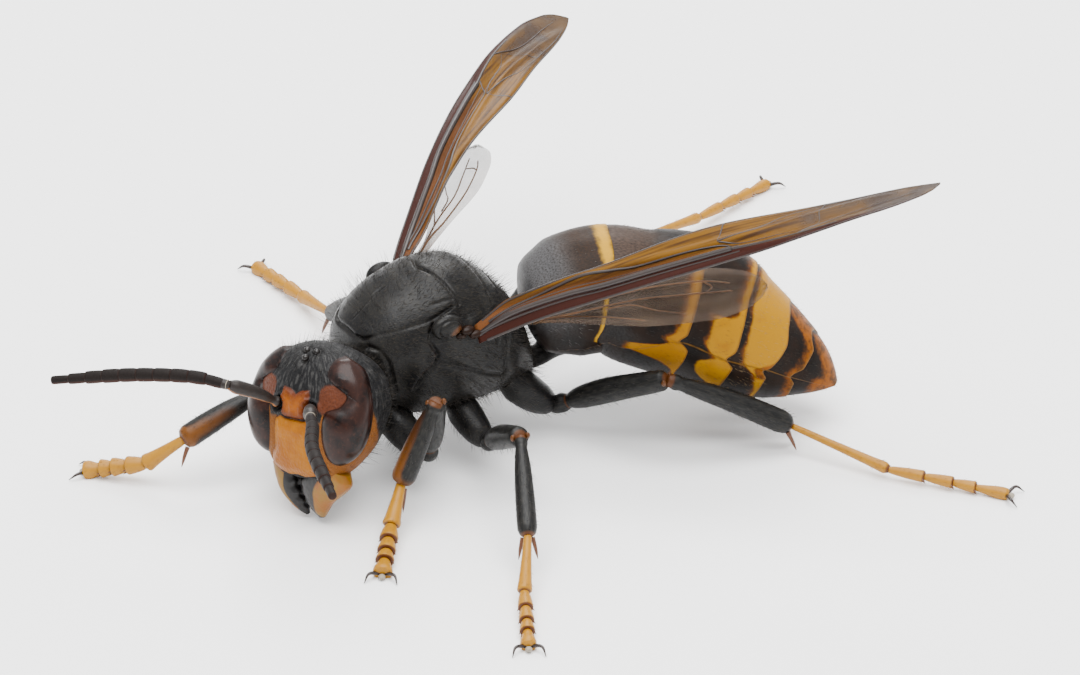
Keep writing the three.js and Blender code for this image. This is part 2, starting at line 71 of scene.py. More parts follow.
def table(pairs, at):
    # smooth value at a place in a row of (place, value) pairs, with no overshoot
    x = np.array([pair[0] for pair in pairs], float)
    y = np.array([pair[1] for pair in pairs], float)
    gaps = np.diff(x)
    rises = np.diff(y) / gaps
    slopes = np.zeros(len(x))
    both = rises[:-1] + rises[1:]
    product = rises[:-1] * rises[1:]
    slopes[1:-1] = np.where(product > 0, 2 * product / np.where(both == 0, 1, both), 0)
    slopes[0] = rises[0]
    slopes[-1] = rises[-1]
    at = np.clip(at, x[0], x[-1])
    i = np.clip(np.searchsorted(x, at, side="right") - 1, 0, len(gaps) - 1)
    u = (at - x[i]) / gaps[i]
    return ((2 * u**3 - 3 * u**2 + 1) * y[i] + (u**3 - 2 * u**2 + u) * gaps[i] * slopes[i]
            + (3 * u**2 - 2 * u**3) * y[i + 1] + (u**3 - u**2) * gaps[i] * slopes[i + 1])


def spline(points, fine=40):
    # the smooth curve through points, as a function of the share of its length
    p = np.array(points, float)
    p = np.vstack([2 * p[0] - p[1], p, 2 * p[-1] - p[-2]])
    pieces = []
    for i in range(1, len(p) - 2):
        a, b, c, d = p[i - 1], p[i], p[i + 1], p[i + 2]
        ab, bc, cd = [np.linalg.norm(q - r) ** 0.5 for q, r in ((b, a), (c, b), (d, c))]
        start = ((b - a) / ab - (c - a) / (ab + bc) + (c - b) / bc) * bc
        end = ((c - b) / bc - (d - b) / (bc + cd) + (d - c) / cd) * bc
        u = np.linspace(0, 1, fine, endpoint=False)[:, None]
        bend = (3 * c - 3 * b - 2 * start - end) * u**2
        twist = (2 * b - 2 * c + start + end) * u**3
        pieces.append(b + start * u + bend + twist)
    pieces.append(p[-2][None])
    curve = np.vstack(pieces)
    lengths = np.r_[0, np.cumsum(np.linalg.norm(np.diff(curve, axis=0), axis=1))]
    total = lengths[-1]

    def at(share):
        share = np.atleast_1d(share)
        return np.stack([np.interp(share * total, lengths, curve[:, k]) for k in range(3)], -1)
    at.total = total
    return at


def directions(curve, share, up):
    # run, side and top of a curve at some shares of its length
    step = 0.004
    run = unit(curve(np.clip(share + step, 0, 1)) - curve(np.clip(share - step, 0, 1)))
    side = unit(np.cross(run, up))
    return run, side, np.cross(side, run)


def ringPoints(angle, wide, high, power=2.0):
    c, s = np.cos(angle), np.sin(angle)
    return np.sign(c) * np.abs(c) ** (2 / power) * wide, np.sign(s) * np.abs(s) ** (2 / power) * high


def limbGrid(points, wide, high=None, rows=40, cols=20, up=(0, 0, 1), power=2.0):
    # rings of a limb along a curve, from tables of half width and half height, closest near both ends
    curve = spline(points)
    share = (1 - np.cos(np.pi * np.linspace(0, 1, rows))) / 2
    run, side, top = directions(curve, share, up)
    angle = np.linspace(0, 2 * np.pi, cols, endpoint=False)
    x, z = ringPoints(angle[None], table(wide, share)[:, None], table(high or wide, share)[:, None], power)
    return curve(share)[:, None] + side[:, None] * x[..., None] + top[:, None] * z[..., None], share


def scaled(profile, size):
    return [(share, value * size) for share, value in profile]


def levelTables(levels, at):
    # the three measures of a table of levels, read at some places
    return [table([(level[0], level[k]) for level in levels], at)[:, None] for k in (1, 2, 3)]


def ballGrid(rows, cols):
    # points of a ball of radius 1, with its poles up and down
    theta = np.linspace(0.06, math.pi - 0.06, rows)[:, None]
    phi = np.linspace(0, 2 * math.pi, cols, endpoint=False)[None]
    upright = np.cos(theta) * np.ones_like(phi)
    return np.stack([np.sin(theta) * np.cos(phi), np.sin(theta) * np.sin(phi), upright], -1)


def gapTo(points, place):
    return np.linalg.norm(points - place, axis=-1)


def leftHalf(points):
    # the points mirrored to the hornet's left
    return np.stack([abs(points[..., 0]), points[..., 1], points[..., 2]], -1)


def gridNormals(points, around=True):
    if around:
        across = np.roll(points, -1, axis=1) - np.roll(points, 1, axis=1)
    else:
        across = np.gradient(points, axis=1)
    return unit(np.cross(across, np.gradient(points, axis=0)))


def outward(points, normals):
    centre = points.reshape(-1, 3).mean(axis=0)
    if ((points - centre) * normals).sum() < 0:
        return -normals
    return normals


def lineDistance(points, line):
    # distance of each point to a bent line, in millimetres
    flat = points.reshape(-1, 3)
    best = np.full(len(flat), 1e9)
    for a, b in zip(line[:-1], line[1:]):
        a, b = np.array(a, float), np.array(b, float)
        share = np.clip(((flat - a) @ (b - a)) / ((b - a) @ (b - a)), 0, 1)
        best = np.minimum(best, np.linalg.norm(flat - a - share[:, None] * (b - a), axis=1))
    return best.reshape(points.shape[:-1])


def insideDistance(x, y, outline):
    # signed distance to a closed outline in a plane, positive inside
    flatX, flatY = x.ravel(), y.ravel()
    best = np.full(len(flatX), 1e9)
    inside = np.zeros(len(flatX), bool)
    for (ax, ay), (bx, by) in zip(outline, outline[1:] + outline[:1]):
        dx, dy = bx - ax, by - ay
        share = np.clip(((flatX - ax) * dx + (flatY - ay) * dy) / (dx * dx + dy * dy), 0, 1)
        best = np.minimum(best, np.hypot(flatX - ax - share * dx, flatY - ay - share * dy))
        if dy:
            crosses = (ay > flatY) != (by > flatY)
            inside ^= crosses & (flatX < ax + dx * (flatY - ay) / dy)
    return np.where(inside, best, -best).reshape(x.shape)


def smoothStep(value, low, high):
    u = np.clip((value - low) / (high - low), 0, 1)
    return u * u * (3 - 2 * u)


def bump(distance, width):
    return np.exp(-(distance / width) ** 2)


# Meshes

def linked(name, data):
    made = bpy.data.objects.new(name, data)
    bpy.context.scene.collection.objects.link(made)
    return made


class Shape:
    # closed grids gathered into one mesh, each with a lay (around, along) and named fields

    def __init__(self, *fields):
        self.fields = {name: [] for name in fields}
        self.points, self.faces, self.lays, self.slots, self.islands = [], [], [], [], []

    def face(self, corners, lay, slot):
        self.faces.append(corners)
        self.lays.append(lay)
        self.slots.append(slot)

    def grid(self, points, closed=True, along=None, slot=0, **fields):
        rows, cols = points.shape[:2]
        along = np.linspace(0, 1, rows) if along is None else along
        base = len(self.points)
        given = {name: np.broadcast_to(fields.get(name, 0.0), (rows, cols)) for name in self.fields}
        self.points.extend(points.reshape(-1, 3).tolist())
        for name, values in self.fields.items():
            values.extend(given[name].ravel().tolist())
        for r in range(rows - 1):
            low, high = along[r], along[r + 1]
            for c in range(cols):
                a, b = base + r * cols + c, base + r * cols + (c + 1) % cols
                u, v = c / cols, (c + 1) / cols
                self.face((a, b, b + cols, a + cols), ((u, low), (v, low), (v, high), (u, high)), slot)
        for row in (0, rows - 1) if closed else ():
            pole = len(self.points)
            self.points.append(points[row].mean(axis=0).tolist())
            for name, values in self.fields.items():
                values.append(float(given[name][row].mean()))
            for c in range(cols):
                a, b = base + row * cols + c, base + row * cols + (c + 1) % cols
                lay = tuple(((c + step) / cols, along[row]) for step in (0, 1, 0.5))
                self.face((a, b, pole), lay, slot)
        self.islands.append(len(self.faces))

    def limb(self, points, wide, rows, cols, slot=0, **fields):
        points, share = limbGrid(points, wide, rows=rows, cols=cols)
        self.grid(points, along=share, slot=slot, **fields)

    def ball(self, centre, size, slot=0):
        self.grid(ballGrid(14, 18) * size + np.asarray(centre), slot=slot)

    def sheet(self, points, thick, along, **fields):
        # a thin closed slab between two faces of an open grid
        half = gridNormals(points, around=False) * (thick / 2)
        rows, cols = points.shape[:2]
        loop = np.concatenate([points + half, (points - half)[:, ::-1]], axis=1)
        doubled = {name: np.concatenate([v, v[:, ::-1]], axis=1) for name, v in fields.items()}
        first, start = len(self.lays), len(self.points)
        self.grid(loop, closed=False, along=along, **doubled)
        for k in range(first, len(self.lays)):  # the far face repeats the near face's lay
            self.lays[k] = tuple((1 - abs(2 * u - 1), v) for u, v in self.lays[k])
        for row in (0, rows - 1):
            for c in range(cols - 1):
                a = start + row * cols * 2 + c
                b = start + row * cols * 2 + 2 * cols - 1 - c
                self.face((a, a + 1, b - 1, b), ((c / cols, 1.0),) * 4, 0)
        self.islands[-1] = len(self.faces)

    def make(self, name, finishes, raw=False):
        placed = np.array(self.points) if raw else (np.array(self.points) + ownToFrame) * metre
        mesh = bpy.data.meshes.new(name)
        mesh.from_pydata(placed.tolist(), [], self.faces)
        across = math.ceil(math.sqrt(len(self.islands)))
        cells = []
        for number, lay in enumerate(self.lays):  # every grid has a cell of its own
            island = sum(number >= end for end in self.islands)
            column, row = island % across + 0.02, island // across + 0.02
            cells.append([((column + 0.96 * u) / across, (row + 0.96 * v) / across) for u, v in lay])
        for title, faces in (("lay", self.lays), ("cells", cells)):
            places = mesh.uv_layers.new(name=title)
            places.data.foreach_set("uv", [n for face in faces for corner in face for n in corner])
        for field, values in self.fields.items():
            mesh.attributes.new(field, "FLOAT", "POINT").data.foreach_set("value", values)
        for finish in finishes:
            mesh.materials.append(finish)
        mesh.polygons.foreach_set("material_index", self.slots)
        work = bmesh.new()
        work.from_mesh(mesh)
        bmesh.ops.recalc_face_normals(work, faces=work.faces)
        work.to_mesh(mesh)
        work.free()
        mesh.shade_smooth()
        return linked(name, mesh)


def loosePiece(name, points, faces, edges=()):
    mesh = bpy.data.meshes.new(name)
    mesh.from_pydata([tuple(point) for point in points], edges, faces)
    return linked(name, mesh)


def discard(piece):
    mesh = piece.data
    bpy.data.objects.remove(piece)
    bpy.data.meshes.remove(mesh)


def settle(piece, slot, *nodes):
    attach(piece, "root")
    if nodes:
        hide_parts(*nodes)


# Node trees, with maths written as expressions

class Wire:
    def __init__(self, board, socket):
        self.board = board
        self.socket = socket

    def __add__(self, other):
        return self.board.maths("ADD", self, other)

    def __radd__(self, other):
        return self.board.maths("ADD", other, self)

    def __sub__(self, other):
        return self.board.maths("SUBTRACT", self, other)

    def __rsub__(self, other):
        return self.board.maths("SUBTRACT", other, self)

    def __mul__(self, other):
        return self.board.maths("MULTIPLY", self, other)

    def __rmul__(self, other):
        return self.board.maths("MULTIPLY", other, self)

    def most(self, other):
        return self.board.maths("MAXIMUM", self, other)

    def size(self):
        return self.board.maths("ABSOLUTE", self, 0.0)


class Board:
    def __init__(self, tree):
        self.tree = tree

    def node(self, kind, settings=None, sockets=None, out=0):
        made = self.tree.nodes.new(kind)
        for name, value in (settings or {}).items():
            setattr(made, name, value)
        for key, value in (sockets or {}).items():
            if isinstance(value, Wire):
                self.tree.links.new(value.socket, made.inputs[key])
            else:
                made.inputs[key].default_value = value
        return Wire(self, made.outputs[out])

    def beside(self, wire, output):
        # another output of the node that a wire comes from
        return Wire(self, wire.socket.node.outputs[output])

    def maths(self, operation, first, second):
        return self.node("ShaderNodeMath", {"operation": operation}, {0: first, 1: second})

    def vector(self, operation, first, second):
        socket = 3 if operation == "SCALE" else 1
        return self.node("ShaderNodeVectorMath", {"operation": operation}, {0: first, socket: second})


class Finish(Board):
    # a material, with its colours by name

    def __init__(self, name, tones, **constants):
        self.material = bpy.data.materials.new(name)
        self.material.use_nodes = True
        super().__init__(self.material.node_tree)
        self.tones = tones
        self.shader = self.tree.nodes["Principled BSDF"]
        for socket, value in constants.items():
            self.shader.inputs[socket.replace("_", " ")].default_value = value

    def place(self):
        # the point in millimetres, so that pattern sizes read as sizes on the hornet
        return self.vector("SCALE", self.node("ShaderNodeTexCoord", out=3), 1 / metre)

    def lay(self, axis):
        flat = self.node("ShaderNodeUVMap", {"uv_map": "lay"})
        return self.node("ShaderNodeSeparateXYZ", None, {0: flat}, out=axis)

    def strands(self, around, along, detail=2.0):
        # a noise stretched over the lay
        flat = self.node("ShaderNodeUVMap", {"uv_map": "lay"})
        return self.noise(self.vector("MULTIPLY", flat, (around, along, 1.0)), 1.0, detail)

    def field(self, name):
        return self.node("ShaderNodeAttribute", {"attribute_name": name}, out=2)

    def step(self, value, low, high):
        smooth = {"interpolation_type": "SMOOTHSTEP"}
        return self.node("ShaderNodeMapRange", smooth, {0: value, 1: low, 2: high})

    def noise(self, vector, scale, detail=4.0, rough=0.55):
        sockets = {"Vector": vector, "Scale": scale, "Detail": detail, "Roughness": rough}
        return self.node("ShaderNodeTexNoise", None, sockets)

    def cells(self, vector, scale):
        return self.node("ShaderNodeTexVoronoi", None, {"Vector": vector, "Scale": scale})

    def mix(self, share, first, second):
        ends = [(*self.tones[tone], 1.0) if isinstance(tone, str) else tone for tone in (first, second)]
        return self.node("ShaderNodeMix", {"data_type": "RGBA"}, {0: share, 6: ends[0], 7: ends[1]}, out=2)

    def feed(self, socket, value):
        self.tree.links.new(value.socket, self.shader.inputs[socket])

    def done(self, tone, rough, *bumps):
        # bumps lie one on another, each (height wire, strength, depth in millimetres)
        self.feed("Base Color", tone)
        self.feed("Roughness", rough)
        normal = None
        for height, strength, depth in bumps:
            sockets = {"Height": height, "Strength": strength, "Distance": depth * metre}
            if normal:
                sockets["Normal"] = normal
            normal = self.node("ShaderNodeBump", None, sockets)
        if normal:
            self.feed("Normal", normal)
        return self.material


class Growth(Board):
    # a geometry tree with named inputs, run on a source that it uses up, and made a plain mesh

    def __init__(self, name, **inputs):
        super().__init__(bpy.data.node_groups.new(name, "GeometryNodeTree"))
        sides = self.tree.interface
        sides.new_socket("Geometry", in_out="OUTPUT", socket_type="NodeSocketGeometry")
        self.ids = {}
        for title, kind in {"Geometry": "Geometry", **inputs, "Finish": "Material"}.items():
            made = sides.new_socket(title, in_out="INPUT", socket_type="NodeSocket" + kind)
            self.ids[title] = made.identifier
        self.entry = self.tree.nodes.new("NodeGroupInput")
        self.exit = self.tree.nodes.new("NodeGroupOutput")

    def given(self, title):
        return Wire(self, self.entry.outputs[title])

    def stored(self, name, kind="FLOAT"):
        return self.node("GeometryNodeInputNamedAttribute", {"data_type": kind}, {"Name": name})

    def placed(self, points, model, turn, size):
        model = self.node("GeometryNodeObjectInfo", None, {0: model}, out=4)
        return self.node("GeometryNodeInstanceOnPoints", None, {0: points, 2: model, 5: turn, 6: size})

    def end(self, geometry, spot=None):
        # where a spot is given, it is each corner's place on the map of the coat
        solid = self.node("GeometryNodeRealizeInstances", None, {0: geometry})
        if spot:
            kind = {"data_type": "FLOAT2", "domain": "CORNER"}
            solid = self.node("GeometryNodeStoreNamedAttribute", kind, {0: solid, 2: "OFBake", 3: spot})
        solid = self.node("GeometryNodeSetMaterial", None, {0: solid, 2: self.given("Finish")})
        self.tree.links.new(solid.socket, self.exit.inputs[0])

    def run(self, source, name, **values):
        modifier = source.modifiers.new("growth", "NODES")
        modifier.node_group = self.tree
        for title, value in values.items():
            modifier[self.ids[title]] = value
        evaluated = source.evaluated_get(bpy.context.evaluated_depsgraph_get())
        mesh = bpy.data.meshes.new_from_object(evaluated)
        source.modifiers.remove(modifier)
        discard(source)
        mesh.shade_smooth()
        return linked(name, mesh)


# Camera, light and floor

view = {"place": (0.14707, -0.09151, 0.10102), "tilt": 60.5, "turn": 58.0, "lens": 186.9, "sensor": 36}
camera = linked("camera", bpy.data.cameras.new("camera"))
camera.location = view["place"]
camera.rotation_euler = (math.radians(view["tilt"]), 0, math.radians(view["turn"]))
camera.data.lens = view["lens"]
camera.data.sensor_width = view["sensor"]
camera.data.clip_start = 0.005
camera.data.clip_end = 20
bpy.context.scene.camera = camera

studio = {
    "sky": 1.45, "floorTone": 0.97, "aim": (0, 0, 0.004),
    "keyLight": {"place": (0.03, -0.03, 0.3), "size": 0.34, "power": 2.6},
    "fillLight": {"place": (-0.16, 0.1, 0.16), "size": 0.12, "power": 0.35},
}
sky = bpy.data.worlds.new("studio")
sky.use_nodes = True
sky.node_tree.nodes["Background"].inputs["Color"].default_value = (1, 1, 1, 1)
sky.node_tree.nodes["Background"].inputs["Strength"].default_value = studio["sky"]
bpy.context.scene.world = sky

for name in ("keyLight", "fillLight"):
    lamp = linked(name, bpy.data.lights.new(name, "AREA"))
    lamp.data.shape = "DISK"
    lamp.data.size = studio[name]["size"]
    lamp.data.energy = studio[name]["power"]
    lamp.location = studio[name]["place"]
    lamp.rotation_euler = (Vector(studio["aim"]) - lamp.location).to_track_quat("-Z", "Y").to_euler()

paperTones = {"bright": (studio["floorTone"],) * 3, "soft": (studio["floorTone"] - 0.01,) * 3}
paper = Finish("palePaper", paperTones, Roughness=0.9)
paper.feed("Base Color", paper.mix(paper.noise(paper.place(), 0.02, 2.0), "bright", "soft"))
floor = loosePiece("floor", [(-3, -3, 0), (3, -3, 0), (3, 3, 0), (-3, 3, 0)], [(0, 1, 2, 3)])
floor.data.materials.append(paper.material)
print("camera, light and floor made")


# Finishes

def blackShell():
    made = Finish("blackShell", {
        "black": (0.0028, 0.0028, 0.0032), "soft": (0.0075, 0.007, 0.0065), "dust": (0.04, 0.032, 0.021),
        "amber": (0.085, 0.028, 0.006),
    }, Specular_IOR_Level=0.15)
    place = made.place()
    strands = made.noise(made.vector("MULTIPLY", place, (30, 5, 30)), 1.0, 2.0)
    tone = made.mix(made.step(made.noise(place, 1.3), 0.38, 0.68), "black", "soft")
    tone = made.mix(made.step(strands, 0.5, 0.78) * 0.5, tone, "dust")
    tone = made.mix(made.field("amber"), tone, "amber")
    return made.done(tone, made.noise(place, 6.0) * 0.25 + 0.2,
                     (strands, 0.5, 0.02), (made.cells(place, 17.0), 0.25, 0.012))


def headShell():
    made = Finish("headShell", {
        "black": (0.003, 0.003, 0.0035), "greyHairAndPaintedSheen": (0.03, 0.029, 0.028), "darkRust": (0.028, 0.006, 0.003),
        "rust": (0.105, 0.027, 0.008), "darkFront": (0.07, 0.013, 0.002), "front": (0.19, 0.05, 0.002),
        "shield": (0.25, 0.086, 0.0), "shieldPatch": (0.19, 0.055, 0.0), "shieldRim": (0.035, 0.008, 0.003),
        "darkCheek": (0.07, 0.02, 0.002), "cheek": (0.2, 0.066, 0.003),
    }, Specular_IOR_Level=0.16)
    place = made.place()
    wobble = made.noise(place, 6.0, 3.0) * 0.1 - 0.05
    fine = made.noise(place, 16.0)
    strands = made.strands(190.0, 16.0)
    # grey strands over the black: partly fine grey hair, partly a painted silvery sheen on the striae
    tone = made.mix(made.step(strands, 0.46, 0.7), "black", "greyHairAndPaintedSheen")
    rust = made.mix(fine, "darkRust", "rust")
    cheek = made.mix(fine, "darkCheek", "cheek")
    front = made.mix(made.step(made.field("front") + wobble * 3.0, 0.02, 0.4), "darkFront", "front")
    shield = made.mix(made.step(made.noise(place, 1.1), 0.35, 0.7), "shield", "shieldPatch")
    shield = made.mix(made.step(made.field("shield"), 0.07, 0.0), shield, "shieldRim")
    tone = made.mix(made.step(made.field("notch") + wobble, 0.0, 0.1), tone, rust)
    tone = made.mix(made.step(made.field("cheek") + wobble * 2.0, -0.05, 0.12), tone, cheek)
    tone = made.mix(made.step(made.field("front") + wobble, -0.02, 0.05), tone, front)
    tone = made.mix(made.step(made.field("shield"), -0.02, 0.02), tone, shield)
    glossy = made.step(made.field("shield").most(made.field("front")), -0.1, 0.1)
    return made.done(tone, made.noise(place, 5.0) * 0.2 + (0.42 - glossy * 0.12),
                     (strands, 0.8, 0.03), (made.cells(place, 9.0), 0.55, 0.03), (fine, 0.3, 0.015))


def eyeShell():
    made = Finish("eyeShell", {
        "dark": (0.0035, 0.0016, 0.0015), "brown": (0.016, 0.0055, 0.0038), "fleck": (0.04, 0.014, 0.008),
    }, Coat_Weight=0.1, Coat_Roughness=0.16, Specular_IOR_Level=0.12)
    place = made.place()
    fine = made.noise(place, 9.0, 2.0)
    tone = made.mix(made.step(made.noise(place, 1.6, 3.0, 0.5), 0.36, 0.62), "dark", "brown")
    tone = made.mix(made.step(fine, 0.5, 0.75) * 0.4, tone, "fleck")
    return made.done(tone, fine * 0.08 + 0.26, (made.cells(place, 36.0), 0.05, 0.01))


def jawShell():
    made = Finish("jawShell", {
        "orange": (0.2, 0.06, 0.0), "yellow": (0.17, 0.086, 0.002), "tooth": (0.004, 0.003, 0.003),
    }, Coat_Weight=0.15, Coat_Roughness=0.2, Specular_IOR_Level=0.25)
    place = made.place()
    tone = made.mix(made.step(made.noise(place, 1.4), 0.35, 0.65), "orange", "yellow")
    tone = made.mix(made.step(made.field("edge"), -0.06, 0.06), tone, "tooth")
    return made.done(tone, made.noise(place, 7.0) * 0.2 + 0.26,
                     (made.cells(place, 7.0), 0.25, 0.03), (made.noise(place, 20.0), 0.1, 0.01))


def scapeShell():
    made = Finish("scapeShell", {
        "dark": (0.005, 0.004, 0.004), "brown": (0.018, 0.012, 0.009), "under": (0.2, 0.062, 0.002),
    }, Specular_IOR_Level=0.25)
    place = made.place()
    under = made.step((made.lay(0) - 0.75).size() + made.noise(place, 5.0) * 0.06, 0.2, 0.12)
    tone = made.mix(under, made.mix(made.noise(place, 9.0), "dark", "brown"), "under")
    return made.done(tone, made.noise(place, 12.0) * 0.25 + 0.3, (made.cells(place, 16.0), 0.3, 0.01))


def lashShell():
    made = Finish("lashShell", {
        "dark": (0.0035, 0.0026, 0.0024), "brown": (0.011, 0.0075, 0.0065), "under": (0.05, 0.014, 0.006),
        "joint": (0.03, 0.012, 0.008),
    }, Specular_IOR_Level=0.1)
    place = made.place()
    facing = made.node("ShaderNodeNewGeometry", out=1)
    height = made.node("ShaderNodeSeparateXYZ", None, {0: facing}, out=2)
    tone = made.mix(made.noise(place, 14.0), "dark", "brown")
    tone = made.mix(made.step(height, 0.1, -0.7) * 0.6, tone, "under")
    tone = made.mix(made.step((made.lay(1) - 0.5).size(), 0.43, 0.49) * 0.4, tone, "joint")
    return made.done(tone, made.noise(place, 10.0) * 0.2 + 0.5, (made.cells(place, 22.0), 0.3, 0.008))


def bandShell():
    made = Finish("bandShell", {
        "brown": (0.011, 0.005, 0.0024), "dark": (0.0035, 0.002, 0.0014), "grey": (0.066, 0.066, 0.068),
        "warm": (0.05, 0.02, 0.005), "yellow": (0.315, 0.148, 0.0), "pale": (0.45, 0.26, 0.012),
        "orange": (0.18, 0.05, 0.0), "russet": (0.06, 0.021, 0.002), "rim": (0.13, 0.06, 0.008),
    }, Specular_IOR_Level=0.09)
    place = made.place()
    wobble = made.noise(place, 2.6, 4.0) * 0.12 + made.noise(place, 8.0) * 0.1 - 0.11
    mottle = made.noise(place, 1.1)
    strands = made.strands(260.0, 40.0)
    base = made.mix(made.step(mottle, 0.35, 0.7), "dark", "brown")
    base = made.mix(made.field("warm") * made.step(strands, 0.1, 0.9), base, "warm")
    base = made.mix(made.field("grey") * made.step(strands, 0.1, 0.7), base, "grey")
    yellow = made.mix(made.field("pale"), "yellow", "pale")
    yellow = made.mix(made.step(mottle, 0.5, 0.8) * 0.4 + made.field("deep") * 0.5, yellow, "orange")
    orange = made.mix(made.step(made.noise(place, 3.2), 0.42, 0.66), "orange", "russet")
    tone = made.mix(made.step(made.field("orange") + wobble * 3.0, -0.12, 0.3), base, orange)
    tone = made.mix(made.step(made.field("yellow") + wobble, -0.06, 0.11), tone, yellow)
    tone = made.mix(made.step(made.field("rim"), 0.07, 0.02) * 0.7, tone, "rim")
    return made.done(tone, made.noise(place, 5.0) * 0.22 + 0.34,
                     (strands, 0.35, 0.015), (made.cells(place, 12.0), 0.25, 0.012))


def limbShell(name, under):
    # a black leg with brown knees, and rust where the fore legs have it
    made = Finish(name, {
        "black": (0.0035, 0.0035, 0.0035), "soft": (0.014, 0.013, 0.011), "darkRust": (0.03, 0.01, 0.003),
        "rust": (0.1, 0.032, 0.002), "knee": (0.06, 0.018, 0.003),
    }, Specular_IOR_Level=0.2)
    place = made.place()
    strands = made.strands(36.0, 14.0, 3.0)
    tone = made.mix(made.step(strands, 0.4, 0.7), "black", "soft")
    rust = made.mix(made.step(made.lay(1), 0.25, 0.95), "darkRust", "rust")
    reach = made.step(made.field("under") + made.noise(place, 2.0) * 0.4 - 0.2, 0.1, 0.8)
    tone = made.mix(made.step(made.field("knee"), 0.0, 0.12), made.mix(reach * under, tone, rust), "knee")
    return made.done(tone, made.noise(place, 8.0) * 0.25 + 0.3,
                     (strands, 0.4, 0.02), (made.cells(place, 15.0), 0.2, 0.01))


def footShell():
    made = Finish("footShell", {
        "yellow": (0.33, 0.152, 0.0), "deep": (0.27, 0.108, 0.0), "joint": (0.07, 0.018, 0.002),
    }, Specular_IOR_Level=0.3)
    place = made.place()
    dark = made.step(made.field("joint") + made.noise(place, 8.0) * 0.3 - 0.15, 0.45, 1.0)
    tone = made.mix(dark, made.mix(made.noise(place, 3.0), "yellow", "deep"), "joint")
    return made.done(tone, made.noise(place, 9.0) * 0.2 + 0.34, (made.cells(place, 16.0), 0.25, 0.01))


def plain(name, low, high, rough, scale=9.0, **constants):
    # a two-toned finish for claws, spurs, hair and other small things
    made = Finish(name, {"low": low, "high": high}, **constants)
    share = made.noise(made.place(), scale)
    return made.done(made.mix(share, "low", "high"), share * 0.2 + rough)


finishes = {
    "shell": blackShell(), "head": headShell(), "eye": eyeShell(), "jaw": jawShell(), "scape": scapeShell(),
    "lash": lashShell(), "band": bandShell(), "limb": limbShell("limbShell", 0.0),
    "foreLimb": limbShell("foreLimbShell", 1.0), "foot": footShell(),
}
# darker tone, lighter tone, roughness, size of the pattern and specular level
smallFinishes = {
    "clawShell": ((0.004, 0.003, 0.002), (0.025, 0.01, 0.006), 0.2, 9.0, 0.5),
    "spurShell": ((0.045, 0.011, 0.003), (0.12, 0.036, 0.005), 0.3, 9.0, 0.5),
    "padSkin": ((0.16, 0.13, 0.09), (0.32, 0.28, 0.22), 0.5, 9.0, 0.5),
    "hingeShell": ((0.004, 0.002, 0.0015), (0.018, 0.006, 0.002), 0.25, 2.5, 0.12),
    "beadShell": ((0.003, 0.002, 0.002), (0.008, 0.006, 0.005), 0.08, 9.0, 0.3),
    "kneeShell": ((0.035, 0.01, 0.002), (0.095, 0.03, 0.003), 0.25, 6.0, 0.25),
    "goldHair": ((0.16, 0.1, 0.04), (0.34, 0.24, 0.12), 0.45, 2.0, 0.5),
    "blackHair": ((0.005, 0.0045, 0.0045), (0.015, 0.012, 0.01), 0.4, 2.0, 0.3),
    "brownHair": ((0.01, 0.008, 0.006), (0.038, 0.03, 0.021), 0.45, 2.0, 0.3),
    "greyHair": ((0.06, 0.057, 0.052), (0.14, 0.135, 0.125), 0.45, 2.0, 0.5),
}
for name, (low, high, rough, scale, gloss) in smallFinishes.items():
    finishes[name] = plain(name, low, high, rough, scale, Specular_IOR_Level=gloss)
print("finishes made")


# Head

headPose = {"centre": (1.22, -4.93, 3.92), "yaw": 20.8, "pitch": -8.2, "roll": -8.8}
headTurn = np.array(Matrix.Rotation(math.radians(headPose["yaw"]), 3, "Z")
                    @ Matrix.Rotation(math.radians(headPose["pitch"]), 3, "X")
                    @ Matrix.Rotation(math.radians(headPose["roll"]), 3, "Y"))


def fromHead(points):
    # head frame: x to the hornet's left, y backwards, z up
    return np.asarray(points, float) @ headTurn.T + np.array(headPose["centre"])


# height, half width, reach forwards and reach backwards
headLevels = [
    (-2.33, 0.95, 1.35, 0.1), (-2.25, 1.3, 1.5, 0.35), (-1.9, 1.65, 1.62, 0.85), (-1.4, 1.95, 1.68, 1.4),
    (-0.7, 2.22, 1.66, 1.75), (0.0, 2.38, 1.58, 1.9), (0.7, 2.3, 1.4, 1.85), (1.3, 2.0, 1.15, 1.55),
    (1.75, 1.45, 0.82, 1.1), (2.02, 0.8, 0.4, 0.65), (2.1, 0.42, 0.15, 0.38), (2.13, 0.08, -0.08, 0.16),
]
headMarks = {
    "shield": [(0, -0.12), (0.4, -0.16), (0.62, -0.08), (0.88, -0.22), (0.94, -0.6), (0.93, -1.25),
               (1.16, -1.62), (1.26, -1.95), (0.98, -2.12), (0.62, -2.22), (0.34, -2.27), (0, -2.2)],
    "front": [(0, 0.72), (0.16, 0.84), (0.58, 0.93), (0.62, 0.55), (0.52, 0.3), (0.5, 0.02), (0.4, -0.12),
              (0, -0.12)],
    "notch": [(0.92, 0.95), (1.05, 1.15), (1.45, 1.2), (2.0, 0.95), (2.0, 0.6), (1.6, 0.28), (1.15, 0.12),
              (0.92, 0.3)],
    "socket": (0.69, -1.6, 0.31),
    "ocelli": [(0, -0.78, 1.84), (0.21, -0.42, 1.97), (-0.21, -0.42, 1.97)],
    "ocellus": 0.13,
}


def bothSides(outline):
    # closes an outline given for the left half with its mirror image
    return outline + [(-x, z) for x, z in reversed(outline) if x]


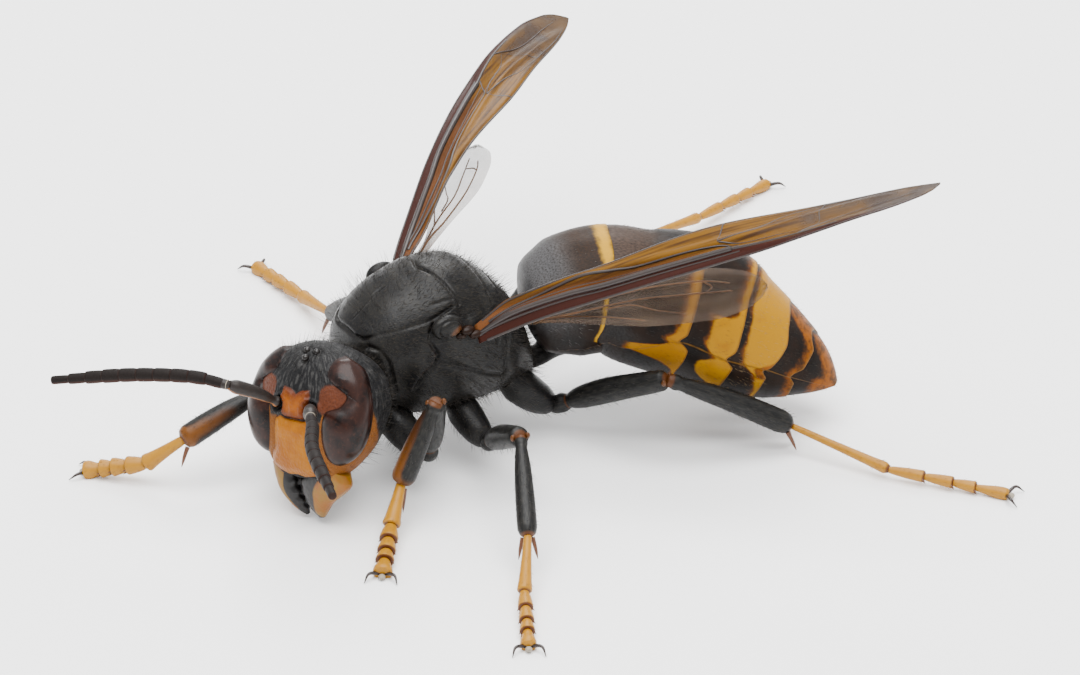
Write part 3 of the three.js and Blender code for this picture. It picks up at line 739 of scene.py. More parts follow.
def makeHead():
    rows, cols = 210, 260
    low, high = headLevels[0][0], headLevels[-1][0]
    z = low + (high - low) * (1 - np.cos(np.pi * np.linspace(0.02, 1, rows))) / 2
    wide, front, back = levelTables(headLevels, z)
    angle = np.linspace(0, 2 * np.pi, cols, endpoint=False) + 0.5 * math.pi
    x, y = ringPoints(angle[None], wide, (front + back) / 2, 2.5)
    points = np.stack([x, (back - front) / 2 + y, np.broadcast_to(z[:, None], x.shape)], -1)
    x, y, z = np.moveaxis(points, -1, 0)
    fields = {name: np.where(y < 0.3, insideDistance(x, z, bothSides(headMarks[name])), -1.0)
              for name in ("shield", "front")}
    fields["notch"] = np.where(y < 0.3, insideDistance(abs(x), z, headMarks["notch"]), -1.0)
    behind = np.minimum(np.where(abs(x) > 1.1, -0.12 - 0.54 * z - y, -1.0), 0.15 - z)
    beside = np.minimum(abs(x) - 0.8, np.minimum(-0.12 - z, -1.0 - y))
    fields["cheek"] = np.maximum(behind, beside)
    lift = 0.13 * smoothStep(fields["shield"], 0.0, 0.45) - 0.06 * bump(fields["shield"], 0.05)
    lift += 0.13 * smoothStep(fields["front"], -0.02, 0.12) - 0.03 * bump(fields["front"], 0.05)
    lift += 0.05 * bump(x, 0.1) * (fields["front"] > 0)
    socket = gapTo(leftHalf(points), headMarks["socket"])
    lift += 0.06 * bump(socket - 0.36, 0.06) - 0.26 * smoothStep(-socket, -0.32, -0.16)
    lift -= 0.035 * bump(x, 0.04) * (z > 0.95) * (y < -0.3)
    for bead in headMarks["ocelli"]:
        lift -= 0.04 * bump(gapTo(points, bead) - 0.17, 0.05)
    points = points + outward(points, gridNormals(points)) * lift[..., None]
    x, y, z = np.moveaxis(points, -1, 0)
    crown = smoothStep(z + 0.5 * y, 0.3, 1.0) + smoothStep(y, -0.1, 0.5)
    bare = (fields["shield"] > -0.05) | (fields["front"] > -0.05)
    shape = Shape("shield", "front", "notch", "cheek", "hair")
    shape.grid(fromHead(points), hair=np.where(bare, 0, np.clip(crown, 0.15, 1)), **fields)
    for bead in headMarks["ocelli"]:
        shape.ball(fromHead(bead), (headMarks["ocellus"],) * 3, slot=1)
    piece = shape.make("headSkin", [finishes["head"], finishes["beadShell"]])
    settle(piece, "face", "head")
    return piece


# the eye's margin on the left of the head, in the head frame
eye = {
    "outline": [
        (1.3, -0.1, 1.9), (1.12, -0.52, 1.83), (1.09, -0.96, 1.45), (1.4, -1.02, 1.14), (1.71, -0.95, 0.95),
        (1.87, -0.92, 0.77), (1.74, -1.12, 0.46), (1.28, -1.38, 0.25), (1.15, -1.49, -0.2),
        (1.17, -1.52, -0.89), (1.34, -1.41, -1.49), (1.58, -1.18, -1.7), (1.86, -0.75, -1.52),
        (2.06, -0.4, -1.1), (2.3, -0.15, -0.18), (2.24, 0.0, 0.81), (1.84, 0.14, 1.47),
    ],
    "bulge": 0.32, "shoulder": 0.6, "centre": (0.5, 0.35), "anchor": (1.85, -0.75, 0.0),
    "facing": (0.85, -0.53, 0.0), "skirt": 0.35,
}


def makeEye(side, name):
    facing = unit(eye["facing"])
    across = np.array([-facing[1], facing[0], 0.0])
    margin = np.array(eye["outline"]) - eye["anchor"]
    flat = np.stack([margin @ across, margin[:, 2], margin @ facing], -1)
    a, z, out = flat.T
    terms = lambda p, q: np.stack([np.ones_like(p), p, q, p * p, p * q, q * q], -1)
    bend = np.linalg.lstsq(terms(a, z), out, rcond=None)[0]
    ring = spline(np.vstack([flat, flat[:1]]))(np.linspace(0, 1, 240, endpoint=False))[:, :2]
    ring = [tuple(point) for point in ring]
    ma, mz = eye["centre"]
    cols, rows = 220, 90
    angle = np.linspace(0, 2 * np.pi, cols, endpoint=False)
    c, s = np.cos(angle), np.sin(angle)
    reach = np.zeros(cols)
    for (ax, az), (bx, bz) in zip(ring, ring[1:] + ring[:1]):  # the furthest crossing of each ray
        cross = c * (bz - az) - s * (bx - ax)
        safe = np.where(abs(cross) < 1e-9, 1e-9, cross)
        distance = ((ax - ma) * (bz - az) - (az - mz) * (bx - ax)) / safe
        share = ((ax - ma) * s - (az - mz) * c) / safe
        reach = np.where((share >= 0) & (share <= 1) & (distance > reach), distance, reach)
    share = np.linspace(0.01, 1, rows)[:, None] ** 0.8
    pa = ma + share * reach * c
    pz = mz + share * reach * s
    depth = insideDistance(pa, pz, ring)
    rise = np.sqrt(np.clip(1 - (1 - np.clip(depth / eye["shoulder"], 0, 1)) ** 2, 0, 1))
    height = (terms(pa, pz) @ bend) + (eye["bulge"] * rise - 0.2 * smoothStep(-depth, 0.0, 0.12))
    grid = eye["anchor"] + across * pa[..., None] + np.array([0, 0, 1.0]) * pz[..., None]
    grid = grid + facing * height[..., None]
    skirt = grid[-1:] - facing * eye["skirt"]
    grid = np.concatenate([grid, skirt, skirt - facing * 0.2], axis=0) * (side, 1, 1)
    shape = Shape()
    shape.grid(fromHead(grid))
    settle(shape.make("eye_" + name + "_dome", [finishes["eye"]]), "eye", "eye_" + name)


jaw = {
    "path": [(1.12, -0.72, -2.0), (0.84, -0.86, -2.72), (0.56, -0.84, -3.32), (0.26, -0.74, -3.88)],
    "broad": [(0, 0.5), (0.15, 0.66), (0.35, 0.64), (0.6, 0.5), (0.8, 0.34), (0.92, 0.22), (1, 0.08)],
    "thick": [(0, 0.46), (0.3, 0.42), (0.7, 0.3), (0.92, 0.16), (1, 0.07)],
    "teeth": [(0.42, 0.08), (0.6, 0.1), (0.76, 0.1), (0.9, 0.06)],
    "edge": {"left": 0.8, "right": 0.78},
    "lean": {"left": -0.42, "right": -0.12},
    "width": {"left": 1.22, "right": 0.66},
}


def makeJaw(side, name):
    path = [(x * side, y, z) for x, y, z in jaw["path"]]
    broad = [(s, w * (1 + (jaw["width"][name] - 1) * smoothStep(s, 0.0, 0.25))) for s, w in jaw["broad"]]
    grid, share = limbGrid(path, broad, jaw["thick"], rows=80, cols=48, up=(0, -1, 0), power=2.3)
    centre = grid.mean(axis=1, keepdims=True)
    inner = -(grid - centre)[..., 0] * side / table(broad, share)[:, None]
    teeth = sum(size * bump(share - at, 0.045) for at, size in jaw["teeth"])[:, None]
    grid = grid + np.array([-side, 0, 0]) * (teeth * smoothStep(inner, 0.3, 1.0))[..., None]
    grid[..., 0] = np.where(grid[..., 0] * side < 0.02, 0.02 * side, grid[..., 0])
    grid[..., 0] += jaw["lean"][name] * (np.sin(np.pi * share ** 0.8) * smoothStep(share, 0.1, 0.5))[:, None]
    edge = inner - (1 - jaw["edge"][name]) - 0.15 * (share[:, None] < 0.2)
    edge = edge + (0.35 * smoothStep(share, 0.2, 0.6) + 1.5 * smoothStep(share, 0.84, 0.96))[:, None]
    shape = Shape("edge")
    shape.grid(fromHead(grid), edge=edge)
    settle(shape.make("jaw_" + name, [finishes["jaw"]]), "jaw", "mandible_" + name)


headSkin = makeHead()
sides = (("left", 1), ("right", -1))
for sideName, side in sides:
    makeEye(side, sideName)
    makeJaw(side, sideName)
print("head, eyes and jaws made")


# Feelers

feelers = {
    "left": {"elbow": (3.95, -6.96, 5.36),
             "lash": [(4.8, -7.36, 5.49), (6.44, -8.3, 5.75), (9.86, -9.5, 6.03)]},
    "right": {"elbow": (0.78, -8.31, 5.43),
              "lash": [(-0.21, -9.07, 5.49), (-1.83, -10.56, 5.25), (-3.93, -12.68, 4.66)]},
}
lash = {
    "segments": 10, "radius": 0.245, "overlap": 1.03,
    "segment": [(0, 0.78), (0.05, 0.92), (0.3, 0.99), (0.7, 1.0), (0.94, 0.97), (1, 0.82)],
    "scape": [(0, 0.12), (0.06, 0.19), (0.13, 0.14), (0.3, 0.19), (0.85, 0.25), (1, 0.17)],
    "neck": [(0, 0.1), (0.4, 0.17), (0.8, 0.18), (1, 0.12)],
    "ring": [(0, 0.12), (0.5, 0.185), (1, 0.12)],
}

ringedPath = Growth("ringedPath", Segment="Object", Count="Int", Radius="Float", Length="Float")


def growRings():
    # segments set end to end along a path, thinner at its first and last
    tree = ringedPath
    path = tree.node("GeometryNodeMeshToCurve", None, {0: tree.given("Geometry")})
    places = tree.node("GeometryNodeCurveToPoints", {"mode": "COUNT"}, {0: path, 1: tree.given("Count")})
    share = tree.maths("DIVIDE", tree.node("GeometryNodeInputIndex"), tree.given("Count"))
    start = tree.node("ShaderNodeMapRange", None, {0: share, 1: 0.0, 2: 0.12, 3: 0.8, 4: 1.0})
    end = tree.node("ShaderNodeMapRange", None, {0: share, 1: 0.65, 2: 0.9, 3: 1.0, 4: 0.62})
    thick = tree.given("Radius") * start * end
    size = tree.node("ShaderNodeCombineXYZ", None, {0: thick, 1: thick, 2: tree.given("Length")})
    tree.end(tree.placed(places, tree.given("Segment"), tree.beside(places, "Rotation"), size))


def makeFeeler(side, name):
    elbow = np.array(feelers[name]["elbow"])
    socket = headMarks["socket"]
    start = fromHead((socket[0] * side, socket[1] + 0.12, socket[2]))
    run = unit(np.array(feelers[name]["lash"][0]) - elbow)
    shape = Shape()
    shape.limb([start, (start + elbow) / 2 + (0, 0, 0.08), elbow], lash["scape"], 60, 28)
    shape.limb([elbow + run * step for step in (-0.04, 0.14, 0.3)], lash["neck"], 20, 24)
    shape.limb([elbow + run * step for step in (0.05, 0.075, 0.1)], lash["ring"], 10, 24, slot=1)
    piece = shape.make("scape_" + name + "_shell", [finishes["scape"], finishes["padSkin"]])
    settle(piece, "feeler", "scape_" + name)
    path = spline([elbow + run * 0.24] + feelers[name]["lash"])
    length = path.total / lash["segments"] * lash["overlap"]
    places = path(np.linspace(0.5, lash["segments"] - 0.5, 60) / lash["segments"])
    line = loosePiece("path", (places + ownToFrame) * metre, [], [(i, i + 1) for i in range(59)])
    piece = ringedPath.run(line, "lash_" + name, Segment=ringSegment, Count=lash["segments"],
                           Radius=lash["radius"] * metre, Length=length * metre, Finish=finishes["lash"])
    settle(piece, "feeler", "flagellum_" + name)


growRings()
segmentShape = Shape()
middle = [(0, 0, -0.5), (0, 0, 0), (0, 0, 0.5)]
segmentGrid, segmentShare = limbGrid(middle, lash["segment"], rows=16, cols=22, up=(0, 1, 0))
segmentShape.grid(segmentGrid, along=segmentShare)
ringSegment = segmentShape.make("ringSegment", [finishes["lash"]], raw=True)
for sideName, side in sides:
    makeFeeler(side, sideName)
discard(ringSegment)
print("feelers made")


# Middle body

# place along the body, half width, top and bottom
trunkLevels = [
    (-3.42, 0.45, 4.95, 4.3), (-3.36, 0.9, 5.2, 4.0), (-3.14, 1.35, 5.9, 3.5), (-2.7, 1.78, 6.3, 2.95),
    (-1.98, 2.08, 6.8, 2.4), (-1.1, 2.3, 7.13, 2.1), (0, 2.42, 7.36, 2.0), (1, 2.36, 7.25, 1.95),
    (1.8, 2.2, 6.85, 1.95), (2.5, 1.95, 6.2, 1.95), (3.1, 1.6, 5.3, 1.95), (3.6, 1.15, 4.2, 1.9),
    (3.95, 0.7, 3.1, 1.85), (4.05, 0.35, 2.7, 2.1),
]
# seams on the left half: depth, width and the line they follow
seams = [
    (0.15, 0.06, [(0, -3.22, 5.75), (0.5, -3.24, 5.72), (0.93, -3.12, 5.75), (1.29, -2.8, 5.98),
                   (1.68, -2.17, 6.15), (1.93, -1.16, 6.31), (1.95, -0.8, 6.38), (1.92, -0.4, 6.5),
                   (1.86, 0.0, 6.6)]),
    (0.13, 0.05, [(0, -0.38, 7.35), (0.66, -0.13, 7.3), (1.14, 0.0, 7.16), (1.51, 0.11, 6.94),
                   (1.85, 0.28, 6.6)]),
    (0.05, 0.04, [(1.49, -1.72, 6.62), (1.61, -1.05, 6.72), (1.7, 0.03, 6.78)]),
    (0.14, 0.06, [(2.0, -0.9, 6.2), (2.18, -1.21, 5.73), (2.27, -1.07, 5.42), (2.32, -0.9, 5.12),
                  (2.31, -1.1, 4.68), (2.24, -1.45, 4.45), (2.1, -1.95, 3.6), (1.9, -2.2, 3.0)]),
    (0.11, 0.07, [(0.5, -3.3, 4.6), (1.2, -3.05, 5.55), (1.63, -2.84, 5.51), (1.86, -2.64, 5.08),
                  (1.9, -2.36, 3.8)]),
    (0.14, 0.06, [(0, 1.5, 7.1), (0.8, 1.5, 6.9), (1.5, 1.55, 6.5), (2.05, 1.6, 5.7), (2.3, 1.55, 4.9)]),
    (0.14, 0.06, [(0, 2.1, 6.7), (0.9, 2.15, 6.4), (1.6, 2.2, 5.75), (2.05, 2.1, 4.9), (2.1, 1.9, 3.9),
                  (2.0, 1.9, 3.0)]),
    (0.1, 0.06, [(2.33, -1.0, 4.9), (2.42, -0.14, 4.48), (2.36, 0.7, 4.03), (2.2, 1.4, 3.6),
                  (2.0, 2.0, 3.3)]),
    (0.06, 0.05, [(0, -3.0, 6.1), (0, -1.5, 7.1)]),
]
amberEdge = [(2.24, -1.27, 5.7), (2.33, -1.13, 5.42), (2.38, -1.02, 5.12), (2.37, -1.22, 4.68),
             (2.28, -1.56, 4.45)]
# swellings and hollows on the left half: height, reach and place
mounds = [
    (0.1, 1.1, (0, 0.75, 7.3)), (0.05, 1.2, (0.7, -1.6, 7.0)), (-0.22, 0.42, (2.05, 0.42, 6.25)),
    (0.1, 0.9, (2.3, 0.1, 3.4)), (0.06, 0.6, (2.2, -1.9, 5.1)), (0.1, 0.5, (1.9, 2.3, 3.5)),
    (-0.1, 0.5, (0, 3.3, 5.0)), (0.07, 0.6, (1.2, 2.6, 5.6)),
]


def makeTrunk():
    rows, cols = 230, 300
    even = np.linspace(0, 1, rows)
    eased = (1 - np.cos(np.pi * even)) / 2
    y = trunkLevels[0][0] + (trunkLevels[-1][0] - trunkLevels[0][0]) * (0.6 * eased + 0.4 * even)
    wide, top, bottom = levelTables(trunkLevels, y)
    angle = np.linspace(0, 2 * np.pi, cols, endpoint=False)
    x, z = ringPoints(angle[None], wide, (top - bottom) / 2, 2.35)
    points = np.stack([x, np.broadcast_to(y[:, None], x.shape), z + (top + bottom) / 2], -1)
    half = leftHalf(points)
    lift = np.zeros((rows, cols))
    bald = np.zeros((rows, cols))
    for depth, width, line in seams:
        near = bump(lineDistance(half, line), width)
        lift -= depth * near
        bald = np.maximum(bald, np.minimum(1.6 * near, 1))
    for height, reach, place in mounds:
        lift += height * bump(gapTo(half, place), reach)
    amber = bump(lineDistance(half, amberEdge), 0.05)
    points = points + outward(points, gridNormals(points)) * (lift + 0.05 * amber)[..., None]
    shape = Shape("amber", "hair")
    shape.grid(points, amber=amber, hair=np.clip(1 - 1.2 * bald, 0, 1) * np.clip(1 - amber * 2, 0, 1))
    piece = shape.make("trunkSkin", [finishes["shell"]])
    settle(piece, "shell", "pronotum", "mesothorax", "scutellum", "propodeum")
    return piece


trunkSkin = makeTrunk()
tegula = {"centre": (2.24, -0.5, 6.08), "size": (0.33, 0.6, 0.44), "spot": (0.75, 0.45, -0.35)}
for sideName, side in sides:
    ball = ballGrid(40, 56)[..., [2, 0, 1]]
    spot = 0.75 * smoothStep(-gapTo(ball, tegula["spot"]), -0.62, -0.3)
    ring = 1 - 0.1 * bump(ball[..., 0] - 0.62, 0.1)
    shape = Shape("amber")
    shape.grid((ball * ring[..., None] * tegula["size"] + tegula["centre"]) * (side, 1, 1), amber=spot)
    settle(shape.make("tegula_" + sideName + "_cap", [finishes["shell"]]), "shell", "tegula_" + sideName)
print("middle body made")


# Hind body

tailLine = [
    (0.27, 3.86, 4.42), (1.1, 6.5, 4.9), (1.8, 7.7, 4.55), (2.75, 9.15, 4.13),
    (3.75, 10.48, 3.15), (4.58, 11.66, 2.45), (5.28, 12.49, 1.96), (6.02, 13.28, 1.42),
]
tailRadius = [
    (0, 0.75), (0.01, 1.25), (0.03, 1.72), (0.088, 2.08), (0.127, 2.26), (0.263, 2.38), (0.418, 2.62),
    (0.515, 2.72), (0.612, 2.62), (0.709, 2.28), (0.806, 1.8), (0.884, 1.32), (0.942, 0.85), (0.976, 0.48),
    (1.0, 0.14),
]
# the rear edge of each segment: angle from the top in degrees, and place along the tail line
rearEdges = [
    [(0, 0.241), (33, 0.244), (60, 0.234), (92, 0.203), (108, 0.166), (120, 0.19), (180, 0.209)],
    [(0, 0.48), (60, 0.49), (80, 0.492), (87, 0.476), (93, 0.515), (104, 0.523), (180, 0.515)],
    [(0, 0.595), (30, 0.6), (57, 0.629), (74, 0.645), (82, 0.633), (90, 0.665), (180, 0.661)],
    [(0, 0.764), (30, 0.777), (50, 0.794), (62, 0.789), (77, 0.772), (84, 0.753), (92, 0.775), (180, 0.777)],
    [(0, 0.862), (15, 0.87), (30, 0.886), (61, 0.882), (80, 0.855), (92, 0.876), (180, 0.884)],
    [(0, 1.0), (180, 1.0)],
]
plateEdge = [(0, 130), (0.088, 118), (0.273, 112), (0.321, 110), (0.399, 99), (0.467, 89), (0.612, 84),
             (0.806, 81), (1.0, 81)]
# widths of the yellow band in millimetres by angle, for the upper plate and then the lower one
bandWidths = [
    [(0, 0.24), (30, 0.26), (60, 0.21), (92, 0.18), (106, 0.15), (112, -0.2), (180, -0.2)],
    [(0, 0.2), (34, 0.22), (62, 0.25), (78, 0.35), (86, 0.45), (90, 0.6), (95, 1.3), (101, 2.3), (107, 2.3),
     (113, 1.0), (120, 0.3), (180, 0.22)],
    [(0, 0.22), (30, 0.25), (46, 0.28), (53, 0.55), (58, 1.1), (66, 1.15), (74, 1.1), (80, 0.9), (85, 0.5),
     (90, 0.9), (97, 1.2), (106, 1.0), (114, 0.3), (180, 0.25)],
    [(0, 1.8), (30, 1.9), (50, 1.75), (60, 1.55), (70, 1.35), (77, 1.15), (84, 0.7), (92, 0.45), (102, 0.35),
     (112, 0.2), (180, 0.15)],
    [(0, -0.1), (60, -0.1), (180, -0.15)],
    [(0, -0.3), (180, -0.3)],
]
orangeWidths = [
    [(0, -0.3), (180, -0.3)],
    [(0, 0.32), (60, 0.36), (80, 0.5), (90, 0.7), (95, 1.4), (101, 2.4), (107, 2.4), (114, 1.1), (120, 0.4),
     (180, 0.3)],
    [(0, 0.34), (46, 0.4), (53, 0.7), (58, 1.25), (76, 1.2), (84, 0.75), (94, 0.9), (114, 0.4), (180, 0.3)],
    [(0, 1.92), (30, 2.0), (50, 1.85), (60, 1.65), (77, 1.25), (84, 0.85), (92, 0.6), (110, 0.35),
     (180, 0.3)],
    [(0, 1.25), (12, 1.1), (24, 0.55), (40, 0.32), (60, 0.28), (80, 0.26), (100, 0.35), (180, 0.35)],
    [(0, 1.6), (20, 1.3), (40, 0.85), (60, 0.75), (75, 0.9), (90, 0.9), (180, 0.6)],
]
# how far each segment's yellow turns orange
bandDepth = (0.0, 0.7, 0.25, 0.1, 0.5, 0.5)
fourthGap = [(2.9, -0.3), (4.2, -0.3), (4.2, 0.45), (3.5, 0.22)]
tailCurve = spline(tailLine)


def tailPoints(share, angle, outwards):
    run, side, top = directions(tailCurve, share.ravel(), (0, 0, 1))
    whole = share.shape + (3,)
    radius = table(tailRadius, share) + outwards
    ring = np.cos(angle)[..., None] * top.reshape(whole) + np.sin(angle)[..., None] * side.reshape(whole)
    return tailCurve(share.ravel()).reshape(whole) + ring * radius[..., None]


def makeSegment(number):
    cols = 240
    angle = np.linspace(-np.pi, np.pi, cols, endpoint=False)
    degrees = abs(np.degrees(angle))
    rear = table(rearEdges[number], degrees)
    front = table(rearEdges[number - 1], degrees) - 0.03 if number else np.zeros(cols)
    # along each plate: share of its length and how far it stands out
    if number:
        course = [(s, 0.035 * smoothStep(s, 0.1, 1.0) - 0.11 * (1 - smoothStep(s, 0.0, 0.16)))
                  for s in np.linspace(0, 1, 46)]
    else:
        course = [(s, 0.02 * s) for s in np.linspace(0, 1, 60) ** 1.4]
    course += [(1.008, 0.01), (1.004, -0.04), (0.98, -0.1), (0.9, -0.3)] if number < 5 else []
    share = np.clip(np.stack([front + (rear - front) * s for s, _ in course]), 0, 1)
    stands = np.array([h for _, h in course])[:, None]
    edge = table(plateEdge, share)
    lip = smoothStep(edge - degrees, -0.8, 0.8)
    flat = smoothStep(degrees, 100, 180)
    grid = tailPoints(share, np.broadcast_to(angle, share.shape), stands - 0.09 * (1 - lip) - 0.12 * flat)
    rim = (rear - share) * tailCurve.total
    spots = np.broadcast_to(degrees, share.shape)
    beside = abs(edge - spots) * 0.045
    fields = {
        "yellow": np.minimum(table(bandWidths[number], spots) - rim, rim + 0.04),
        "orange": table(orangeWidths[number], spots) - rim,
        "rim": np.minimum(abs(rim), beside), "pale": 0.0, "deep": bandDepth[number], "warm": 0.0,
        "grey": np.maximum(0.55 * smoothStep(spots, 92, 125), 0.25 * smoothStep(rim, 1.5, 2.5)),
    }
    if number == 0:
        lower = 1 - 0.8 * smoothStep(spots, 60, 105)
        fields["grey"] = smoothStep(-share - 0.0003 * spots, -0.19, -0.1) * lower
        fields.update(pale=0.5, warm=0.35 * smoothStep(-spots, -90, -40), rim=beside)
    if number == 1:
        fields["warm"] = smoothStep(rim, 1.2, 2.6) * smoothStep(-spots, -60, -20)
    if number == 3:
        fields["yellow"] = np.minimum(fields["yellow"], -insideDistance(spots * 0.045, rim, fourthGap))
    hair = np.where(rim < 0.0, 0, 1) * np.maximum(fields["grey"], 1.0 if number else 0.12)
    shape = Shape("hair", *fields)
    shape.grid(grid, hair=hair, along=np.clip([s for s, _ in course], 0, 1), **fields)
    return shape.make("gasterPlate_" + str(number + 1), [finishes["band"]])


tailPlates = [makeSegment(number) for number in range(6)]
stalk = {
    "path": [(0.12, 3.9, 2.35), (0.4, 4.55, 2.7), (0.62, 5.1, 3.5), (0.7, 5.4, 4.3)],
    "radius": [(0, 0.36), (0.3, 0.42), (0.6, 0.85), (1, 1.2)],
}
shape = Shape()
shape.grid(limbGrid(stalk["path"], stalk["radius"], rows=40, cols=36)[0])
settle(shape.make("stalk", [finishes["shell"]]), "banded_shell")
for number, piece in enumerate(tailPlates):
    settle(piece, "banded_shell", "gaster_" + str(number + 1))
print("hind body made")


# Wings

wings = {
    "left": {"side": 1, "root": (2.55, 0.5, 5.65), "tip": (11.57, 13.45, 11.96), "tilt": (40, -24),
             "bow": (-0.27, -0.43, 0.25), "skew": 1.0, "hindTip": (7.9, 8.96, 7.57), "hindTilt": (35, 35)},
    "right": {"side": -1, "root": (-2.5, 0.4, 5.95), "tip": (-11.86, 13.29, 8.45), "tilt": (20, -26),
              "bow": (-0.7, -0.04, 1.0), "skew": 0.81, "hindTip": (-8.05, 7.0, 6.5), "hindTilt": (20, 10)},
}
# half chords in millimetres along the wing, ahead of its middle line and behind it
foreLead = [(0, 0.35), (0.1, 0.35), (0.3, 0.57), (0.55, 0.91), (0.75, 1.1), (0.88, 1.05), (0.96, 0.77),
            (0.985, 0.5), (1, 0.06)]
foreTrail = [(0, 0.3), (0.1, 0.75), (0.3, 0.72), (0.55, 0.97), (0.75, 0.68), (0.88, 0.52), (0.96, 0.29),
             (1, 0.06)]
hindLead = [(0, 0.1), (0.16, 0.12), (0.39, 0.5), (0.59, 0.84), (0.8, 0.92), (0.9, 0.75), (0.97, 0.4),
            (1, 0.06)]
hindTrail = [(0, 0.2), (0.3, 0.65), (0.6, 1.05), (0.8, 0.95), (0.92, 0.7), (0.98, 0.35), (1, 0.06)]
hindDrop = (0, 0.7, 0.1)
sheetThickness = 0.035
strongVein = [(0, 0.0), (0.055, 0.2), (0.113, 0.23), (0.22, 0.09), (0.325, -0.27), (0.47, -0.44),
              (0.585, -0.55)]
costalLine = strongVein + [(0.647, -0.69), (0.723, -0.8), (0.85, -0.82), (1, -0.9)]
# veins as places (along, across): half thickness in millimetres, then the line
foreVeins = [
    (0.105, strongVein),
    (0.06, [(0, -0.3), (0.055, 0.02), (0.113, 0.02), (0.22, -0.18), (0.325, -0.5), (0.47, -0.62),
             (0.6, -0.72)]),
    (0.05, [(0.02, -0.97), (0.2, -0.97), (0.5, -0.97), (0.8, -0.97), (0.95, -0.95)]),
    (0.045, [(0.02, 0.9), (0.2, 0.97), (0.5, 0.97), (0.8, 0.97), (0.95, 0.95)]),
    (0.065, [(0.035, 0.45), (0.135, 0.62), (0.245, 0.78), (0.328, 0.48), (0.39, 0.23), (0.497, 0.07),
             (0.56, -0.07), (0.588, -0.36), (0.603, -0.57)]),
    (0.04, [(0.573, 0.95), (0.565, 0.5), (0.557, 0.09)]),
    (0.038, [(0.557, 0.09), (0.63, 0.18), (0.705, 0.59), (0.775, 0.73)]),
    (0.038, [(0.56, 0.05), (0.62, -0.26), (0.685, -0.34), (0.74, -0.64)]),
    (0.06, [(0.585, -0.55), (0.647, -0.69), (0.723, -0.8), (0.8, -0.86)]),
    (0.045, [(0.723, -0.8), (0.74, -0.69), (0.835, -0.32), (0.955, -0.3)]),
    (0.035, [(0.775, 0.73), (0.765, 0.07), (0.76, -0.34), (0.74, -0.64)]),
    (0.03, [(0.775, 0.73), (0.883, 0.8), (0.963, 0.6)]),
    (0.045, [(0.035, 0.24), (0.113, 0.45), (0.22, 0.41), (0.328, 0.12), (0.47, -0.16), (0.585, -0.38)]),
]
hindVeins = [
    (0.045, [(0.05, 0.0), (0.2, 0.25), (0.35, 0.46), (0.565, 0.55), (0.77, 0.53), (0.865, 0.39)]),
    (0.04, [(0.1, -0.1), (0.3, 0.05), (0.522, 0.19), (0.705, 0.11), (0.873, 0.01)]),
    (0.034, [(0.77, 0.53), (0.8, 0.3), (0.78, 0.08)]),
    (0.036, [(0.133, 0.0), (0.242, -0.09), (0.41, -0.52), (0.55, -0.76)]),
    (0.03, [(0.41, 0.01), (0.485, 0.04), (0.6, -0.35), (0.698, -0.65)]),
]


def onWing(name, kind, share, across):
    # points of the wing's middle surface at places along it and across it, -1 ahead to 1 behind
    wing = wings[name]
    root, tip, bow = (np.array(wing[key], float) for key in ("root", "tip", "bow"))
    tilt, lead, trail = wing["tilt"], foreLead, foreTrail
    if kind == "hind":
        root = root + hindDrop
        tip = np.array(wing["hindTip"], float)
        tilt, lead, trail, bow = wing["hindTilt"], hindLead, hindTrail, bow * 0
    span = tip - root
    run = unit(span)
    flat = np.array([-wing["side"], 0.0, 0.0])
    flat = unit(flat - run * (flat @ run))
    angle = np.radians(tilt[0] + (tilt[1] - tilt[0]) * share) * wing["side"]
    chord = flat * np.cos(angle)[..., None] + np.cross(run, flat) * np.sin(angle)[..., None]
    offset = np.where(across < 0, across * table(lead, share), across * table(trail, share))
    if kind == "fore":  # the membrane is folded lengthwise, with its ridges along the veins
        toVein = (across - table(costalLine, share)) * table(trail, share)
        fade = smoothStep(share, 0.0, 0.1) * smoothStep(-share, -0.97, -0.8)
        pleat = 0.12 * bump(toVein, 0.16) - 0.08 * bump(toVein - 0.34, 0.15)
        pleat = pleat + 0.08 * bump(toVein - 0.62, 0.15)
        pleat = (pleat - 0.06 * smoothStep(across, 0.8, 1.0)) * fade
    else:
        pleat = 0.05 * np.sin(across * 9.0 + share * 2.0) * smoothStep(share, 0.05, 0.3)
    normal = np.cross(run, chord)
    arch = np.array(bow) * np.sin(np.pi * share ** wing["skew"])[..., None]
    middle = root + span * share[..., None] + chord * offset[..., None] + arch
    return middle + normal * (pleat * wing["side"])[..., None]


veinPath = Growth("veinPath", Sides="Int")


def growVeins():
    # a tube along each line of a mesh of edges, as thick as its thickness attribute says
    tree = veinPath
    path = tree.node("GeometryNodeMeshToCurve", None, {0: tree.given("Geometry")})
    sockets = {"Resolution": tree.given("Sides"), "Radius": 1.0}
    ring = tree.node("GeometryNodeCurvePrimitiveCircle", {"mode": "RADIUS"}, sockets)
    tree.end(tree.node("GeometryNodeCurveToMesh", None, {0: path, 1: ring, 2: tree.stored("thick"), 3: True}))


def paintFore(made, cloud, along):
    # amber with a rust middle, a smoky tip and a dark pleated strip; colour and alpha
    streak = made.strands(18.0, 5.0, 3.0)
    tone = made.mix(made.step(streak, 0.4, 0.68), "amber", "streak")
    middle = made.step(made.field("strip"), 0.62, 0.25) * made.step(along, 0.62, 0.45)
    tone = made.mix(middle, tone, made.mix(streak, "rust", "darkRust"))
    tone = made.mix(made.step(along, 0.12, 0.02), tone, "root")
    tip = made.step(along + cloud * 0.16 - 0.03, 0.66, 0.92)
    tone = made.mix(tip, tone, made.mix(made.step(cloud, 0.35, 0.65), "smoke", "darkSmoke"))
    strip = made.step(made.field("strip") + cloud * 0.04, 0.02, -0.04)
    tone = made.mix(strip, tone, made.mix(streak, "strip", "darkStrip"))
    return tone, (strip * 0.04 + 0.96) - tip * 0.06 - made.step(cloud, 0.3, 0.8) * 0.05


